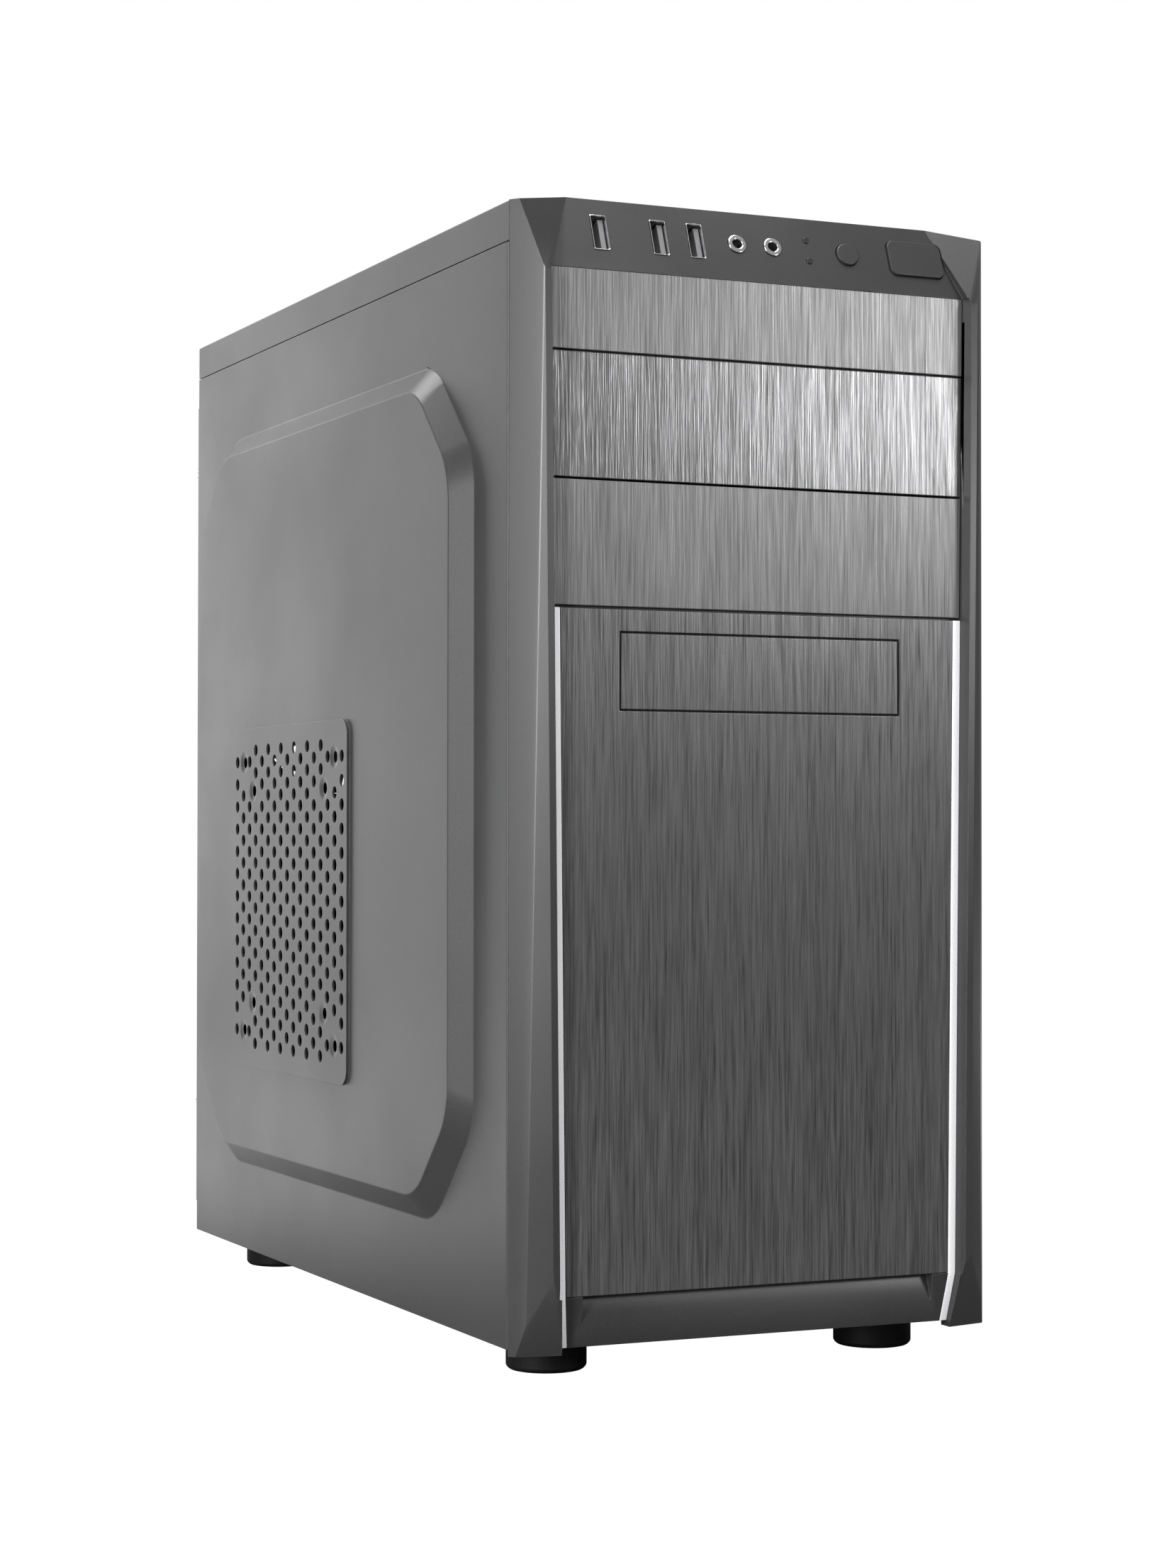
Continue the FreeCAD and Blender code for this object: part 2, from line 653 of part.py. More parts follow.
def rear_panel():
    body = block(-CHASSIS, CHASSIS, REAR_IN, BODY_D, SHEET, ROOF)
    body = fuse(body, *side_returns(REAR_IN - FLANGE, REAR_IN))
    half = PSU_W / 2 - 6
    body = body.cut(block(-half, half, REAR_IN - 1, BODY_D + 1, PSU_LOW + 11, PSU_TOP - 6))
    body = body.cut(block(IO_X0, IO_X1, REAR_IN - 1, BODY_D + 1, IO_LOW, IO_LOW + IO_H))
    cuts = []
    for i in range(SLOTS):
        z = slot_z(i)
        cuts.append(block(SLOT_X0, SLOT_X1, REAR_IN - 1, BODY_D + 1, z - SLOT_W / 2, z + SLOT_W / 2))
    # fan opening: rings of slots left between narrow bridges
    outer = REAR_FAN / 2 - 2
    for radius in (12.0, 22.0, 32.0, outer):
        ring = rod(radius, (FAN_X, REAR_IN - 1, FAN_Z), (FAN_X, BODY_D + 1, FAN_Z))
        ring = ring.cut(rod(radius - 7.0, (FAN_X, REAR_IN - 1, FAN_Z), (FAN_X, BODY_D + 1, FAN_Z)))
        for turn in (45, 135):
            bar = block(-1.6, 1.6, REAR_IN - 2, BODY_D + 2, -REAR_FAN, REAR_FAN)
            bar.rotate(V(0, 0, 0), V(0, 1, 0), turn)
            ring = ring.cut(moved(bar, FAN_X, 0, FAN_Z))
        cuts.append(ring)
    for x, z in fan_corners(FAN_X, FAN_Z, SMALL_FAN_BOLT):
        cuts.append(rod(HOLE_FIT, (x, REAR_IN - 1, z), (x, BODY_D + 1, z)))
    for x, z in PSU_SCREWS:
        cuts.append(rod(HOLE_FIT, (x, REAR_IN - 1, z), (x, BODY_D + 1, z)))
    for side in (-1, 1):
        for x, z in thumb_places(side):
            cuts.append(rod(HOLE_FIT, (x, REAR_IN - 1, z), (x, BODY_D + 1, z)))
    for cut in cuts:
        body = body.cut(cut)
    return body


def fan_corners(x, z, square):
    half = square / 2
    return [(x + i * half, z + j * half) for i in (-1, 1) for j in (-1, 1)]


def top_cover():
    body = block(-HALF_W, HALF_W, 0, BODY_D, ROOF, BODY_H).cut(port_notch(ROOF_NOTCH))
    for side in (-1, 1):
        a = side * HALF_W
        b = side * PANEL_IN
        body = fuse(body, block(min(a, b), max(a, b), 0, BODY_D, FOLD_Z, ROOF))
    long_edges = [e for e in body.Edges if abs(e.Length - BODY_D) < 0.01
                  and abs(abs(e.Vertexes[0].X) - HALF_W) < 0.01 and e.Vertexes[0].Z > BODY_H - 0.1]
    return body.makeFillet(SHEET - 0.1, long_edges)


def octagon(offset, x):
    # outline of the raised field, moved inwards by an offset
    y0 = EMBOSS_FRONT + offset
    y1 = BODY_D - EMBOSS_REAR - offset
    z0 = EMBOSS_LOW + offset
    z1 = BODY_H - EMBOSS_TOP - offset
    c = EMBOSS_CORNER - offset * (2 - math.sqrt(2))
    points = [(y0, z0 + c), (y0, z1 - c), (y0 + c, z1), (y1 - c, z1), (y1, z1 - c), (y1, z0 + c), (y1 - c, z0),
              (y0 + c, z0)]
    points.append(points[0])
    return Part.makePolygon([V(x, y, z) for y, z in points])


def raised(x0, x1, shrink):
    return Part.makeLoft([octagon(shrink, x0), octagon(EMBOSS_SLOPE + shrink, x1)], True, True)


def vent_places():
    # staggered columns of holes, clear of the fan screw dimples
    half = VENT_PAD / 2 - 3.0
    screws = fan_corners(VENT_Y, VENT_Z, FAN_BOLT) + fan_corners(VENT_Y, VENT_Z, SMALL_FAN_BOLT)
    places = []
    middle = (VENT_COLUMNS - 1) / 2
    for i in range(VENT_COLUMNS):
        y = VENT_Y + (i - middle) * VENT_COLUMN_STEP
        shift = VENT_ROW_STEP / 2 if i % 2 else 0.0
        for j in range(-9, 10):
            z = VENT_Z + j * VENT_ROW_STEP + shift
            clear = min(math.hypot(y - a, z - b) for a, b in screws)
            if abs(z - VENT_Z) + VENT_HOLE_R < half and clear > DIMPLE_R + VENT_HOLE_R - 0.6:
                places.append((y, z))
    return places


def side_panel(side, vented):
    # modelled on the +X side, mirrored for the left
    rear = BODY_D
    top = FOLD_Z - PANEL_SLIT
    body = block(PANEL_IN, HALF_W, PANEL_FRONT, rear, 0, top)
    body = fuse(body, raised(HALF_W, HALF_W + EMBOSS, 0))
    shrink = SHEET * (math.hypot(EMBOSS, EMBOSS_SLOPE) - EMBOSS_SLOPE) / EMBOSS
    if vented:
        pad = rounded(VENT_PAD, VENT_PAD, VENT_PAD_R, HALF_W, HALF_W + EMBOSS + VENT_RISE)
        pad.rotate(V(0, 0, 0), V(0, 1, 0), 90)
        core = rounded(VENT_PAD - 2 * SHEET, VENT_PAD - 2 * SHEET, VENT_PAD_R - SHEET, 0,
                       HALF_W + EMBOSS + VENT_RISE - SHEET)
        core.rotate(V(0, 0, 0), V(0, 1, 0), 90)
        body = fuse(body, moved_to_vent(pad))
    body = body.cut(raised(PANEL_IN, HALF_W + EMBOSS - SHEET, shrink))
    if vented:
        body = body.cut(moved_to_vent(core))
        far = HALF_W + EMBOSS + VENT_RISE + 1
        holes = [rod(VENT_HOLE_R, (HALF_W, y, z), (far, y, z)) for y, z in vent_places()]
        screws = fan_corners(VENT_Y, VENT_Z, FAN_BOLT) + fan_corners(VENT_Y, VENT_Z, SMALL_FAN_BOLT)
        face = HALF_W + EMBOSS + VENT_RISE
        for y, z in screws:
            dish = Part.makeCone(FAN_HOLE_R + 0.1, DIMPLE_R, 0.6, V(face - 0.6, y, z), V(1, 0, 0))
            body = body.cut(dish)
            holes.append(rod(FAN_HOLE_R, (HALF_W, y, z), (far, y, z)))
        body = body.cut(group(holes))
    flange = block(PANEL_IN - PANEL_FLANGE, HALF_W, rear, rear + SHEET, FLANGE, top - FLANGE)
    body = fuse(body, flange)
    for x, z in thumb_places(1):
        body = body.cut(rod(HOLE_FIT, (x, rear - 1, z), (x, rear + SHEET + 1, z)))
    front = [e for e in body.Edges if abs(e.Length - top) < 0.01
             and abs(e.Vertexes[0].X - HALF_W) < 0.01 and abs(e.Vertexes[0].Y - PANEL_FRONT) < 0.01]
    body = body.makeFillet(SHEET - 0.15, front)
    return mirrored(body) if side < 0 else body


def moved_to_vent(shape):
    return moved(shape, 0, VENT_Y, VENT_Z)


def thumbscrew(x, z):
    seat = BODY_D + SHEET
    head = rod(THUMB_R, (x, seat, z), (x, seat + THUMB_L, z))
    notches = []
    for i in range(16):
        a = 2 * math.pi * i / 16
        nx = x + (THUMB_R + 0.25) * math.cos(a)
        nz = z + (THUMB_R + 0.25) * math.sin(a)
        notches.append(rod(0.6, (nx, seat + 1.5, nz), (nx, seat + THUMB_L + 1, nz)))
    head = head.cut(group(notches))
    slot = block(x - THUMB_R, x + THUMB_R, seat + THUMB_L - 1.4, seat + THUMB_L + 1, z - 0.6, z + 0.6)
    head = head.cut(slot)
    shank = rod(SCREW_R, (x, REAR_IN - 5.0, z), (x, seat, z))
    return fuse(head, shank)


def foot(x, y):
    # round rubber foot with a chamfered tread and a counterbored screw hole
    body = rod(FOOT_R, (x, y, -FOOT_H), (x, y, 0))
    rim = [e for e in body.Edges if abs(e.BoundBox.ZMax + FOOT_H) < 0.01 and e.BoundBox.XLength > FOOT_R]
    body = body.makeChamfer(1.2, rim)
    body = body.cut(rod(4.5, (x, y, -FOOT_H - 1), (x, y, -5.0)))
    return body.cut(rod(HOLE_FIT, (x, y, -FOOT_H), (x, y, 1)))


def pan_screw(start, axis, length, head_r=3.0, head_h=2.0, radius=SCREW_R):
    # screw whose head sits at start, outside, with its shank along the axis
    a = V(*start)
    d = V(*axis)
    head = Part.makeCylinder(head_r, head_h, a - d * head_h, d)
    shank = Part.makeCylinder(radius, length, a, d)
    recess = Part.makeCylinder(1.1, head_h * 0.6, a - d * head_h, d)
    return fuse(head, shank).cut(recess)


def foot_screws():
    return group([pan_screw((x, y, -5.0), (0, 0, 1), 8.0) for x, y in foot_places()])


def motherboard_tray():
    front = BOARD_Y0 - 4.0
    body = block(TRAY_X, TRAY_X + SHEET, front, REAR_IN, SHEET, BOARD_TOP + 3)
    foot_flange = block(TRAY_X + SHEET, CHASSIS - SHEET - 0.3, front, REAR_IN - FLANGE - 1, SHEET, 2 * SHEET)
    body = fuse(body, foot_flange)
    for y, z in BOARD_HOLES:
        body = body.cut(rod(HOLE_FIT, (TRAY_X - 1, y, z), (TRAY_X + 2, y, z)))
    # opening behind the processor
    y, z = CPU_Y, CPU_Z
    return body.cut(block(TRAY_X - 1, TRAY_X + 2, y - 38, y + 38, z - 38, z + 38))


def optical_bay_cage():
    # two side plates tied by a floor, with punched drive holes
    top = TOP_STRIP_LOW + 0.8
    body = block(-OPTICAL_IN - SHEET, OPTICAL_IN + SHEET, SHEET, CAGE_D, OPTICAL_LOW, OPTICAL_LOW + SHEET)
    for side in (-1, 1):
        a = side * OPTICAL_IN
        b = side * (OPTICAL_IN + SHEET)
        plate = block(min(a, b), max(a, b), SHEET, CAGE_D, OPTICAL_LOW, top)
        for low in (BAY_LOW, BAY_LOW + BAY_PITCH):
            for y in (35.0, 85.0):
                z = low + 10.0
                plate = plate.cut(rod(1.8, (min(a, b) - 1, y, z), (max(a, b) + 1, y, z)))
        body = fuse(body, plate)
    return body


def drive_bay_cage():
    top = OPTICAL_LOW
    half = DRIVE_IN + SHEET
    body = block(-half, half, SHEET, CAGE_D, top - SHEET, top)
    for side in (-1, 1):
        a = side * DRIVE_IN
        b = side * half
        plate = block(min(a, b), max(a, b), SHEET, CAGE_D, SHEET, top - SHEET)
        plate = plate.cut(block(min(a, b) - 1, max(a, b) + 1, 20, CAGE_D - 20, 112, 190))
        for y, z in DRIVE_SCREWS:
            plate = plate.cut(rod(HOLE_FIT, (min(a, b) - 1, y, z), (max(a, b) + 1, y, z)))
        body = fuse(body, plate)
    return body


def hard_drive():
    half = DRIVE_W / 2
    y0 = SHEET + 3.0
    body = block(-half, half, y0, y0 + DRIVE_L, DRIVE_LOW, DRIVE_LOW + DRIVE_H)
    upright = [e for e in body.Edges if abs(e.Vertexes[0].Z - e.Vertexes[1].Z) > 20]
    body = body.makeFillet(3.0, upright)
    lid = block(-half + 4, half - 4, y0 + 4, y0 + DRIVE_L - 22, DRIVE_LOW + DRIVE_H - 1, DRIVE_LOW + DRIVE_H + 1)
    body = body.cut(lid)
    plug = block(-20, 25, y0 + DRIVE_L - 8, y0 + DRIVE_L + 1, DRIVE_LOW - 1, DRIVE_LOW + 7)
    body = body.cut(plug)
    for side in (-1, 1):
        for y, z in DRIVE_SCREWS:
            body = body.cut(rod(HOLE_FIT, (side * (half + 1), y, z), (side * (half - 5), y, z)))
    return body


def drive_screws():
    shapes = []
    for side in (-1, 1):
        for y, z in DRIVE_SCREWS:
            shapes.append(pan_screw((side * (DRIVE_IN + SHEET), y, z), (-side, 0, 0), 4.5))
    return group(shapes)


# ---- Fans, drawn about a local Z axis with the hub plate at Z = 0 ----
def fan_parts(size, thick, blades=7):
    hub_r = size * 0.19
    throat = size / 2 - 2.0
    frame = rounded(size, size, size * 0.05, 0, thick)
    frame = frame.cut(rod(throat, (0, 0, -1), (0, 0, thick + 1)))
    spokes = []
    for i in range(4):
        arm = block(hub_r - 1, throat + 1.0, -1.6, 1.6, 0, 2.0)
        arm.rotate(V(0, 0, 0), V(0, 0, 1), 45 + 90 * i)
        spokes.append(arm)
    pin = rod(SHAFT_R, (0, 0, 0), (0, 0, thick - 5.0))
    frame = fuse(frame, rod(hub_r, (0, 0, 0), (0, 0, 2.0)), pin, *spokes)
    square = {REAR_FAN: SMALL_FAN_BOLT, PSU_FAN: FAN_BOLT}.get(size, size - 8.5)
    for x, y in fan_corners(0, 0, square):
        frame = frame.cut(rod(HOLE_FIT, (x, y, -1), (x, y, thick + 1)))
    low = 2.4
    high = thick - 1.5
    hub = rod(hub_r, (0, 0, low), (0, 0, high))
    vanes = []
    for i in range(blades):
        vane = block(hub_r - 1.5, throat + 3, -0.7, 0.7, -size / 2, size / 2)
        vane.rotate(V(0, 0, 0), V(1, 0, 0), 52)
        vane.rotate(V(0, 0, 0), V(0, 0, 1), 360.0 * i / blades)
        vanes.append(moved(vane, 0, 0, (low + high) / 2))
    sweep = rod(throat - 0.8, (0, 0, low + 0.4), (0, 0, high - 0.4)).cut(rod(hub_r - 1.2, (0, 0, 0), (0, 0, thick)))
    rotor = fuse(hub, *[vane.common(sweep) for vane in vanes])
    rotor = rotor.cut(rod(SHAFT_R + RUN_FIT, (0, 0, 0), (0, 0, thick - 4.0)))
    return frame, rotor


def fan_at(shapes, x, y, z, axis):
    turn = FreeCAD.Placement(V(x, y, z), FreeCAD.Rotation(V(0, 0, 1), V(*axis)))
    placed = []
    for shape in shapes:
        copy = shape.copy()
        copy.Placement = turn
        placed.append(copy)
    return placed


def fan_screws(x, y, z, square, length):
    return [pan_screw((cx, y, cz), (0, -1, 0), length) for cx, cz in fan_corners(x, z, square)]


# ---- Power supply ----
PSU_SHEET = 1.0
INLET_X = 46.0
INLET_Z = PSU_LOW + 44.0
INLET_W = 27.5
INLET_H = 20.0
ROCKER_X = 12.0
ROCKER_W = 13.0
ROCKER_H = 19.0
ROCKER_AXLE_Y = REAR_IN - 2.5
PSU_FAN_Z = PSU_LOW + PSU_SHEET
PSU_FAN_Y = (PSU_FRONT + REAR_IN) / 2


def psu_case():
    half = PSU_W / 2
    body = block(-half, half, PSU_FRONT, REAR_IN, PSU_LOW, PSU_TOP)
    body = body.cut(block(-half + PSU_SHEET, half - PSU_SHEET, PSU_FRONT + PSU_SHEET, REAR_IN - PSU_SHEET,
                          PSU_LOW + PSU_SHEET, PSU_TOP - PSU_SHEET))
    body = body.cut(rod(PSU_FAN / 2 - 3, (0, PSU_FAN_Y, PSU_LOW - 1), (0, PSU_FAN_Y, PSU_LOW + 2)))
    back = (REAR_IN - PSU_SHEET - 1, REAR_IN + 1)
    cuts = [block(INLET_X - INLET_W / 2, INLET_X + INLET_W / 2, *back, INLET_Z - INLET_H / 2, INLET_Z + INLET_H / 2),
            block(ROCKER_X - ROCKER_W / 2, ROCKER_X + ROCKER_W / 2, *back,
                  INLET_Z - ROCKER_H / 2, INLET_Z + ROCKER_H / 2),
            block(30.0, 60.0, PSU_FRONT - 1, PSU_FRONT + 2, PSU_LOW + 20, PSU_LOW + 36)]
    for i in range(9):
        for j in range(10):
            x = -62.0 + i * 7.2
            z = PSU_LOW + 17.0 + j * 6.6 + (3.3 if i % 2 else 0.0)
            if z < PSU_TOP - 12:
                cuts.append(rod(2.6, (x, back[0], z), (x, back[1], z)))
    for x, z in PSU_SCREWS:
        cuts.append(rod(HOLE_FIT, (x, back[0], z), (x, back[1], z)))
    for cx, cy in fan_corners(0, PSU_FAN_Y, FAN_BOLT):
        cuts.append(rod(HOLE_FIT, (cx, cy, PSU_LOW - 1), (cx, cy, PSU_LOW + 2)))
    return body.cut(group(cuts))


def psu_inlet():
    # mains inlet: flanged shroud with a socket and three flat pins
    face = BODY_D + 0.6
    body = block(INLET_X - INLET_W / 2 + FIT, INLET_X + INLET_W / 2 - FIT, REAR_IN - 18.0, face,
                 INLET_Z - INLET_H / 2 + FIT, INLET_Z + INLET_H / 2 - FIT)
    half = 12.0
    top = INLET_Z + 7.8
    low = INLET_Z - 7.8
    cavity = [(INLET_X - half, REAR_IN - 15.0, low), (INLET_X + half, REAR_IN - 15.0, low),
              (INLET_X + half, REAR_IN - 15.0, top - 4), (INLET_X + half - 4, REAR_IN - 15.0, top),
              (INLET_X - half + 4, REAR_IN - 15.0, top), (INLET_X - half, REAR_IN - 15.0, top - 4)]
    return body.cut(prism(cavity, (0, 30, 0)))


def psu_inlet_pins():
    shapes = []
    for dx, dz in ((-7.0, -2.0), (7.0, -2.0), (0.0, 2.0)):
        shapes.append(block(INLET_X + dx - 1.0, INLET_X + dx + 1.0, REAR_IN - 15.0, BODY_D - 4.0,
                            INLET_Z + dz - 2.0, INLET_Z + dz + 2.0))
    return group(shapes)


def psu_switch_frame():
    face = BODY_D + 0.6
    body = block(ROCKER_X - ROCKER_W / 2 + FIT, ROCKER_X + ROCKER_W / 2 - FIT, REAR_IN - 12.0, face,
                 INLET_Z - ROCKER_H / 2 + FIT, INLET_Z + ROCKER_H / 2 - FIT)
    well = block(ROCKER_X - ROCKER_W / 2 + 1.4, ROCKER_X + ROCKER_W / 2 - 1.4, REAR_IN - 7.5, face + 1,
                 INLET_Z - ROCKER_H / 2 + 1.4, INLET_Z + ROCKER_H / 2 - 1.4)
    axle = rod(1.0, (ROCKER_X - ROCKER_W / 2 + 1, ROCKER_AXLE_Y, INLET_Z),
               (ROCKER_X + ROCKER_W / 2 - 1, ROCKER_AXLE_Y, INLET_Z))
    return fuse(body.cut(well), axle)


def psu_rocker():
    # two faces either side of the axle, each flush when it is pressed in
    half = ROCKER_W / 2 - 1.8
    long = ROCKER_H / 2 - 2.3
    x0 = ROCKER_X - half
    y = ROCKER_AXLE_Y
    outline = [(x0, y - 2.0, INLET_Z - 3.0), (x0, y + 2.6, INLET_Z - long), (x0, y + 4.4, INLET_Z - long),
               (x0, y + 3.2, INLET_Z), (x0, y + 4.4, INLET_Z + long), (x0, y + 2.6, INLET_Z + long),
               (x0, y - 2.0, INLET_Z + 3.0)]
    body = prism(outline, (2 * half, 0, 0))
    return body.cut(rod(1.0 + RUN_FIT, (x0 - 1, y, INLET_Z), (x0 + 2 * half + 1, y, INLET_Z)))


def psu_fan_guard():
    # wire rings under the supply's fan, welded to two cross wires with eyes
    wire = 1.0
    z = PSU_LOW - 1.2
    cross = []
    for turn in (45, 135):
        reach = FAN_BOLT / math.sqrt(2)
        dx = reach * math.cos(math.radians(turn))
        dy = reach * math.sin(math.radians(turn))
        cross.append(rod(wire, (-dx, PSU_FAN_Y - dy, z), (dx, PSU_FAN_Y + dy, z)))
    guard = cross[0].fuse(cross[1])
    for radius in (16.0, 28.0, 40.0, 52.0):
        guard = guard.fuse(Part.makeTorus(radius, wire, V(0, PSU_FAN_Y, z - 0.9), V(0, 0, 1)))
    for cx, cy in fan_corners(0, PSU_FAN_Y, FAN_BOLT):
        guard = guard.fuse(rod(3.6, (cx, cy, PSU_LOW - 2.0), (cx, cy, PSU_LOW)))
    for cx, cy in fan_corners(0, PSU_FAN_Y, FAN_BOLT):
        guard = guard.cut(rod(HOLE_FIT, (cx, cy, PSU_LOW - 4), (cx, cy, PSU_LOW + 1)))
    return guard


# ---- Main board and what it carries ----
def slab_on_board(y0, y1, z0, z1, height, base=0.0):
    # block standing on the component side of the board
    return block(BOARD_IN - base - height, BOARD_IN - base, y0, y1, z0, z1)


def motherboard():
    body = block(BOARD_IN, BOARD_X, BOARD_Y0, BOARD_Y1, BOARD_LOW, BOARD_TOP)
    for y, z in BOARD_HOLES:
        body = body.cut(rod(HOLE_FIT, (BOARD_IN - 1, y, z), (BOARD_X + 1, y, z)))
    return body


def standoffs():
    shapes = []
    for y, z in BOARD_HOLES:
        corner = [(BOARD_X, y + 3.0 * math.cos(math.radians(60 * i)), z + 3.0 * math.sin(math.radians(60 * i)))
                  for i in range(6)]
        post = prism(corner, (STANDOFF, 0, 0))
        post = post.cut(rod(HOLE_FIT, (BOARD_X - 1, y, z), (BOARD_X + 4.5, y, z)))
        stud = rod(SCREW_R, (BOARD_X + STANDOFF, y, z), (TRAY_X + 3, y, z))
        shapes.append(fuse(post, stud))
    return group(shapes)


def board_screws():
    return group([pan_screw((BOARD_IN, y, z), (1, 0, 0), 5.0) for y, z in BOARD_HOLES])


def cpu_socket():
    frame = slab_on_board(CPU_Y - 27, CPU_Y + 27, CPU_Z - 24, CPU_Z + 24, 3.5)
    return frame.cut(slab_on_board(CPU_Y - 19, CPU_Y + 19, CPU_Z - 19, CPU_Z + 19, 5.0, 1.0))


def processor():
    return slab_on_board(CPU_Y - 18.8, CPU_Y + 18.8, CPU_Z - 18.8, CPU_Z + 18.8, 3.6, 1.0)


SINK_BASE = 4.6
SINK_H = 26.0


def cpu_heatsink():
    half = CPU_FAN / 2
    base = slab_on_board(CPU_Y - half, CPU_Y + half, CPU_Z - half, CPU_Z + half, 4.0, SINK_BASE)
    fins = []
    for i in range(13):
        y = CPU_Y - half + i * (CPU_FAN - 1.2) / 12
        fins.append(slab_on_board(y, y + 1.2, CPU_Z - half, CPU_Z + half, SINK_H - 4.0, SINK_BASE + 4.0))
    body = fuse(base, *fins)
    return body


def sink_clips():
    # four legs that carry the heatsink on the board
    half = CPU_FAN / 2 - 3
    shapes = []
    for y in (CPU_Y - half, CPU_Y + half):
        for z in (CPU_Z - half, CPU_Z + half):
            shapes.append(rod(2.4, (BOARD_IN, y, z), (BOARD_IN - SINK_BASE, y, z)))
    return group(shapes)


RAM_Y = BOARD_Y0 + 14.0
RAM_LOW = BOARD_TOP - 150.0
RAM_L = 133.35


def memory_slots():
    shapes = []
    for i in range(2):
        y = RAM_Y + i * 10.0
        body = slab_on_board(y - 3.2, y + 3.2, RAM_LOW - 5, RAM_LOW + RAM_L + 5, 9.0)
        slit = slab_on_board(y - 0.8, y + 0.8, RAM_LOW - 0.2, RAM_LOW + RAM_L + 0.2, 20.0, 4.0)
        shapes.append(body.cut(slit))
    return group(shapes)


def memory_module():
    y = RAM_Y
    card = slab_on_board(y - 0.65, y + 0.65, RAM_LOW, RAM_LOW + RAM_L, 30.0, 4.0)
    chips = [slab_on_board(y + 0.65, y + 1.85, RAM_LOW + 8 + 15.5 * i, RAM_LOW + 18 + 15.5 * i, 11.0, 16.0)
             for i in range(8)]
    return fuse(card, *chips)


def expansion_sockets():
    shapes = []
    for i in range(SLOTS):
        z = slot_z(i)
        length = 89.0 if i == SLOTS - 1 else 52.0
        y1 = BOARD_Y1 - 38.0
        body = slab_on_board(y1 - length, y1, z - 3.7, z + 3.7, 11.0)
        shapes.append(body.cut(slab_on_board(y1 - length + 2, y1 - 2, z - 1.0, z + 1.0, 20.0, 3.0)))
    return group(shapes)


def chipset_heatsink():
    y = BOARD_Y0 + 56.0
    z = BOARD_LOW + 50.0
    base = slab_on_board(y - 18, y + 18, z - 18, z + 18, 3.0)
    fins = [slab_on_board(y - 18 + 5.0 * i, y - 16.5 + 5.0 * i, z - 18, z + 18, 9.0, 3.0) for i in range(8)]
    return fuse(base, *[fin.common(slab_on_board(y - 18, y + 18, z - 18, z + 18, 30.0)) for fin in fins])


def coin_cell():
    y = BOARD_Y0 + 98.0
    z = BOARD_LOW + 106.0
    return rod(10.0, (BOARD_IN, y, z), (BOARD_IN - 5.0, y, z))


def board_headers():
    # power, drive and panel sockets along the board's front edge
    places = [(BOARD_Y0 + 0.5, BOARD_TOP - 66.0, 9.0, 51.0, 12.0), (BOARD_Y0 + 1.0, BOARD_LOW + 26.0, 8.0, 34.0, 9.0),
              (BOARD_Y0 + 12.0, BOARD_LOW + 3.0, 22.0, 6.0, 9.0)]
    return group([slab_on_board(y, y + dy, z, z + dz, h) for y, z, dy, dz, h in places])


# rear sockets from the bottom of the opening: place, length up the board, height off it
CONNECTORS = [(4.0, 13.0, 33.0), (23.0, 16.5, 29.0), (45.0, 15.0, 16.0), (65.0, 15.0, 16.0), (86.0, 31.0, 12.5),
              (123.0, 14.0, 14.0), (142.0, 14.0, 14.0)]
CONNECTOR_WALL = 1.2


def board_connectors():
    # metal-shelled sockets that reach the rear shield, each with its mouth
    y1 = REAR_IN - 0.35
    shapes = []
    for place, tall, high in CONNECTORS:
        low = IO_LOW + place
        body = slab_on_board(y1 - 20.0, y1, low, low + tall, high)
        mouth = slab_on_board(y1 - 14.0, y1 + 1, low + CONNECTOR_WALL, low + tall - CONNECTOR_WALL,
                              high - 2 * CONNECTOR_WALL, CONNECTOR_WALL)
        shapes.append(body.cut(mouth))
    return group(shapes)


def io_shield():
    lip = 1.2
    y0 = REAR_IN
    body = block(IO_X0 + FIT, IO_X1 - FIT, y0, BODY_D + 0.4, IO_LOW + FIT, IO_LOW + IO_H - FIT)
    body = fuse(body, block(IO_X0 - lip, IO_X1 + lip, y0 - 0.3, y0, IO_LOW - lip, IO_LOW + IO_H + lip))
    for place, tall, high in CONNECTORS:
        low = IO_LOW + place + CONNECTOR_WALL
        body = body.cut(block(BOARD_IN - high + CONNECTOR_WALL, BOARD_IN - CONNECTOR_WALL, y0 - 1, BODY_D + 1, low,
                              low + tall - 2 * CONNECTOR_WALL))
    return body


def slot_covers():
    # blanking brackets behind the slot openings, lapped inside the rear panel
    shapes = []
    for i in range(SLOTS):
        z = slot_z(i)
        body = block(SLOT_X0 - 6, SLOT_X1 + 4, REAR_IN - 0.9, REAR_IN - 0.05, z - 9.2, z + 9.2)
        tab = block(SLOT_X0 - 6.9, SLOT_X0 - 6, REAR_IN - 12, REAR_IN - 0.05, z - 9.2, z + 9.2)
        body = fuse(body, tab)
        shapes.append(body)
    return group(shapes)


